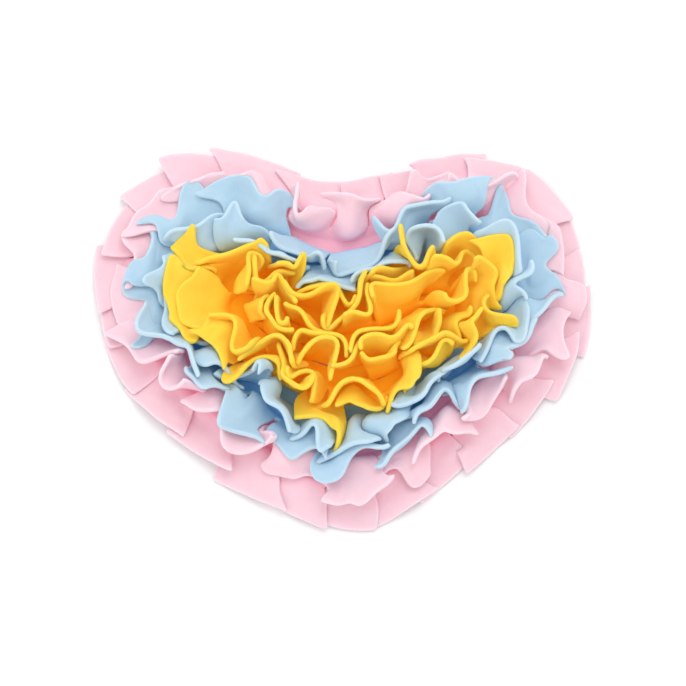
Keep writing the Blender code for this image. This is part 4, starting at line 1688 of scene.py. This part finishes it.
@dataclass
class Seams:
    """Lock stitches along every row: short thread bars on the underside of the base, in mm."""

    plan: HeartPlan
    rows: tuple[Row, ...]
    inset: float
    height: float = 0.42  # of the thread's middle above the floor
    radius: float = 0.34
    length: float = 3.3
    gap: float = 0.9
    taper: Range = (0.04, 0.96)  # shares of the length of a bar's first and last ring
    rings: int = 5
    sides: int = 6

    def spots(self, row: Row) -> tuple[Grid, Grid]:
        """Plan places of the stitches' ends: even steps of stitch and gap along the seam.

        Args:
            row: the row that the seam holds.

        Returns:
            (stitch, 2) first ends and last ends, in mm.
        """
        ends = (0, 2 * np.pi) if row.level else (-np.radians(CORE_END), np.radians(CORE_END))
        angle = np.linspace(*ends, 20 * SAMPLES)
        if row.level:
            line = self.plan.ring(angle, row.level, -self.inset)
        else:
            line = self.plan.middle(angle, self.rows[-2].level, -self.inset)
        run = np.concatenate([[0], np.cumsum(np.linalg.norm(np.diff(line, axis=0), axis=1))])
        count = int(run[-1] // (self.length + self.gap))
        starts = np.arange(count) * run[-1] / count
        first, last = (np.stack([np.interp(at, run, line[:, axis]) for axis in (0, 1)], -1)
                       for at in (starts, starts + self.length))
        return first, last

    def mesh(self) -> bpy.types.Mesh:
        """All stitches as one mesh of small bars whose radius tapers off at both ends."""
        first, last = (np.concatenate(side) for side in zip(*map(self.spots, self.rows)))
        way = last - first
        across = np.stack([-way[:, 1], way[:, 0]], -1) / np.linalg.norm(way, axis=1, keepdims=True)
        share = np.linspace(*self.taper, self.rings)
        swell = self.radius * np.sqrt(1 - (2 * share - 1) ** 4)
        turn = np.arange(self.sides) * 2 * np.pi / self.sides
        middle = first[:, None] + way[:, None] * share[:, None]
        side = swell[:, None] * np.cos(turn)
        plan = middle[:, :, None] + across[:, None, None] * side[..., None]
        points = raised(plan, np.broadcast_to(self.height + swell[:, None] * np.sin(turn), plan.shape[:-1]))
        index = numbered(points)
        after = np.roll(index, -1, axis=2)
        faces = [np.stack([index[:, :-1], after[:, :-1], after[:, 1:], index[:, 1:]], -1).reshape(-1, 4)]
        for ring, order in ((0, (0, 3, 2, 1)), (-1, (0, 1, 2, 3))):
            for corner in range(1, self.sides - 1, 2):
                cap = index[:, ring, [0, corner, corner + 1, (corner + 2) % self.sides]]
                faces.append(cap[:, order])
        return mesh_of("seams", points, np.concatenate(faces))

    def build(self) -> bpy.types.Object:
        """Adds the stitches."""
        piece = add_piece("seam_stitches", self.mesh(), THREAD.material())
        return piece


@dataclass(frozen=True)
class Studio:
    """Plain pale floor, soft lights and the camera, in metres and degrees."""

    azimuth: float = 0.0
    elevation: float = 70.0
    distance: float = 1.36
    lens: float = 85.0
    sensor: float = 36.0
    shift_up: float = 2.0  # pixels by which the picture is raised
    frame_size: int = 686
    floor_half: float = 6.0
    floor_tone: float = 0.90
    sky: float = 1.0

    @staticmethod
    def hang(thing: bpy.types.Object, way: Vector, distance: float = 1.0) -> None:
        """Puts a thing this far out on a way from the origin, looking back at it."""
        thing.location = way * distance
        thing.rotation_euler = (-way).to_track_quat("-Z", "Y").to_euler()

    def camera(self) -> None:
        """Sets the camera above the front of the mat, looking at the origin."""
        data = bpy.data.cameras.new("camera")
        data.lens, data.sensor_width = self.lens, self.sensor
        data.shift_y = self.shift_up / self.frame_size
        thing = add_object("camera", data)
        turn, rise = np.radians([self.azimuth, self.elevation])
        back = Vector((np.sin(turn) * np.cos(rise), -np.cos(turn) * np.cos(rise), np.sin(rise)))
        self.hang(thing, back, self.distance)
        bpy.context.scene.camera = thing

    def floor(self) -> None:
        """Lays one large square under the mat."""
        half = self.floor_half
        mesh = bpy.data.meshes.new("floor")
        mesh.from_pydata([(-half, -half, 0), (half, -half, 0), (half, half, 0), (-half, half, 0)], [],
                         [(0, 1, 2, 3)])
        shader = Shader("floor")
        mesh.materials.append(shader.finish({"Base Color": (*[self.floor_tone] * 3, 1.0), "Roughness": 0.8}))
        thing = add_object("floor", mesh)

    def light(self, name: str, place: tuple[float, float, float], size: float, power: float) -> None:
        """Hangs a square light that faces the mat.

        Args:
            name: the light's name.
            place: where it hangs, in metres.
            size: length of its sides in metres.
            power: its power in watts.
        """
        data = bpy.data.lights.new(name, "AREA")
        data.size, data.energy = size, power
        self.hang(add_object(name, data), Vector(place))

    def build(self) -> None:
        """Sets the whole studio up, with even white light from all sides."""
        self.camera()
        self.floor()
        self.light("key", (0.25, 0.55, 1.7), 1.0, 7)
        self.light("fill", (-0.9, -0.7, 1.3), 1.4, 3)
        world = bpy.data.worlds.new("studio")
        world.use_nodes = True
        sky = world.node_tree.nodes["Background"].inputs
        sky["Color"].default_value, sky["Strength"].default_value = (1, 1, 1, 1), self.sky
        bpy.context.scene.world = world
        bpy.context.scene.view_settings.view_transform = "Standard"


@dataclass
class SnuffleMat:
    """The whole mat: the base panel, its seams, and the rows from the outermost inwards."""

    plan: HeartPlan = field(default_factory=HeartPlan)
    cloth: Cloth = field(default_factory=Cloth)
    rippling: Rippling = field(default_factory=Rippling)
    rows: tuple[Row, ...] = ROWS
    seam_inset: float = 4.0
    stray: Range = (0.3, 1.0)  # shares of a row's stray that its tabs drift by
    rise: Range = (-0.05, 0.1)  # upward drift of a tab, in mm a step

    @property
    def base_top(self) -> float:
        """Height of the base's upper face in mm, as packed."""
        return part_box(BASE_NODE)[1][2] / MM

    def ruffles(self) -> list[Ruffle]:
        """The rows, each pressed against the one before it, and then all settled as a crowd."""
        made, outer = [], None
        for number, row in enumerate(self.rows):
            ruffle = Ruffle(row, number, self.plan, self.cloth, self.rippling, self.base_top)
            if row.pressed:
                ruffle.press.settle(ruffle.coarse(), outer)
            outer = ruffle.press.give_way(ruffle.coarse())
            made.append(ruffle)
        crowd = Crowd(self.plan, self.base_top)
        nets = [ruffle.nets(crowd.levels, crowd.columns) for ruffle in made]
        pulls = [self.pulls(ruffle) for ruffle in made]
        fuller = [np.full(len(ruffle.row.tabs), ruffle.row.sway.fuller) for ruffle in made]
        shifts = crowd.settle(*map(np.concatenate, (nets, pulls, fuller)))
        ends = np.cumsum([len(net) for net in nets])
        for ruffle, part in zip(made, np.split(shifts, ends[:-1])):
            ruffle.shifts = part
        return made

    def pulls(self, ruffle: Ruffle) -> Grid:
        """Drift of each tab's free edge, in mm a step: outwards by the row's own pull, and a chance part.

        Args:
            ruffle: the row.

        Returns:
            (tab, 3) drifts.
        """
        sway, count = ruffle.row.sway, len(ruffle.row.tabs)
        dice = np.random.default_rng(ruffle.number + PULL_SEED)
        bearing = dice.uniform(0, 2 * np.pi, count)
        size = dice.uniform(*self.stray, count) * sway.stray
        plan = sway.pull * self.plan.rays(np.array([spot.bearing for spot in ruffle.spots]))[1]
        plan += np.stack([size * np.sin(bearing), size * np.cos(bearing)], -1)
        pulls = np.concatenate([plan, dice.uniform(*self.rise, (count, 1))], -1)
        for nudge in ruffle.row.nudges:
            pulls[nudge.tab] = nudge.east, nudge.north, nudge.up
        return pulls

    def build(self) -> Iterator[bpy.types.Object]:
        """Makes every piece in order."""
        seams = tuple(row.level for row in self.rows)
        yield BasePanel(self.plan, self.base_top, seams, self.seam_inset).build()
        yield Seams(self.plan, self.rows, self.seam_inset).build()
        for ruffle in self.ruffles():
            yield ruffle.build(FINISHES[ruffle.row.slot])


def main() -> None:
    """Builds the mat and its studio, and reports each piece."""
    logging.basicConfig(level=logging.INFO, format="%(name)s: %(message)s")
    for piece in SnuffleMat().build():
        mesh = piece.data
        LOG.info("%s: %d points, %d faces", piece.name, len(mesh.vertices), len(mesh.polygons))
    Studio().build()


if __name__ == "__main__":
    main()
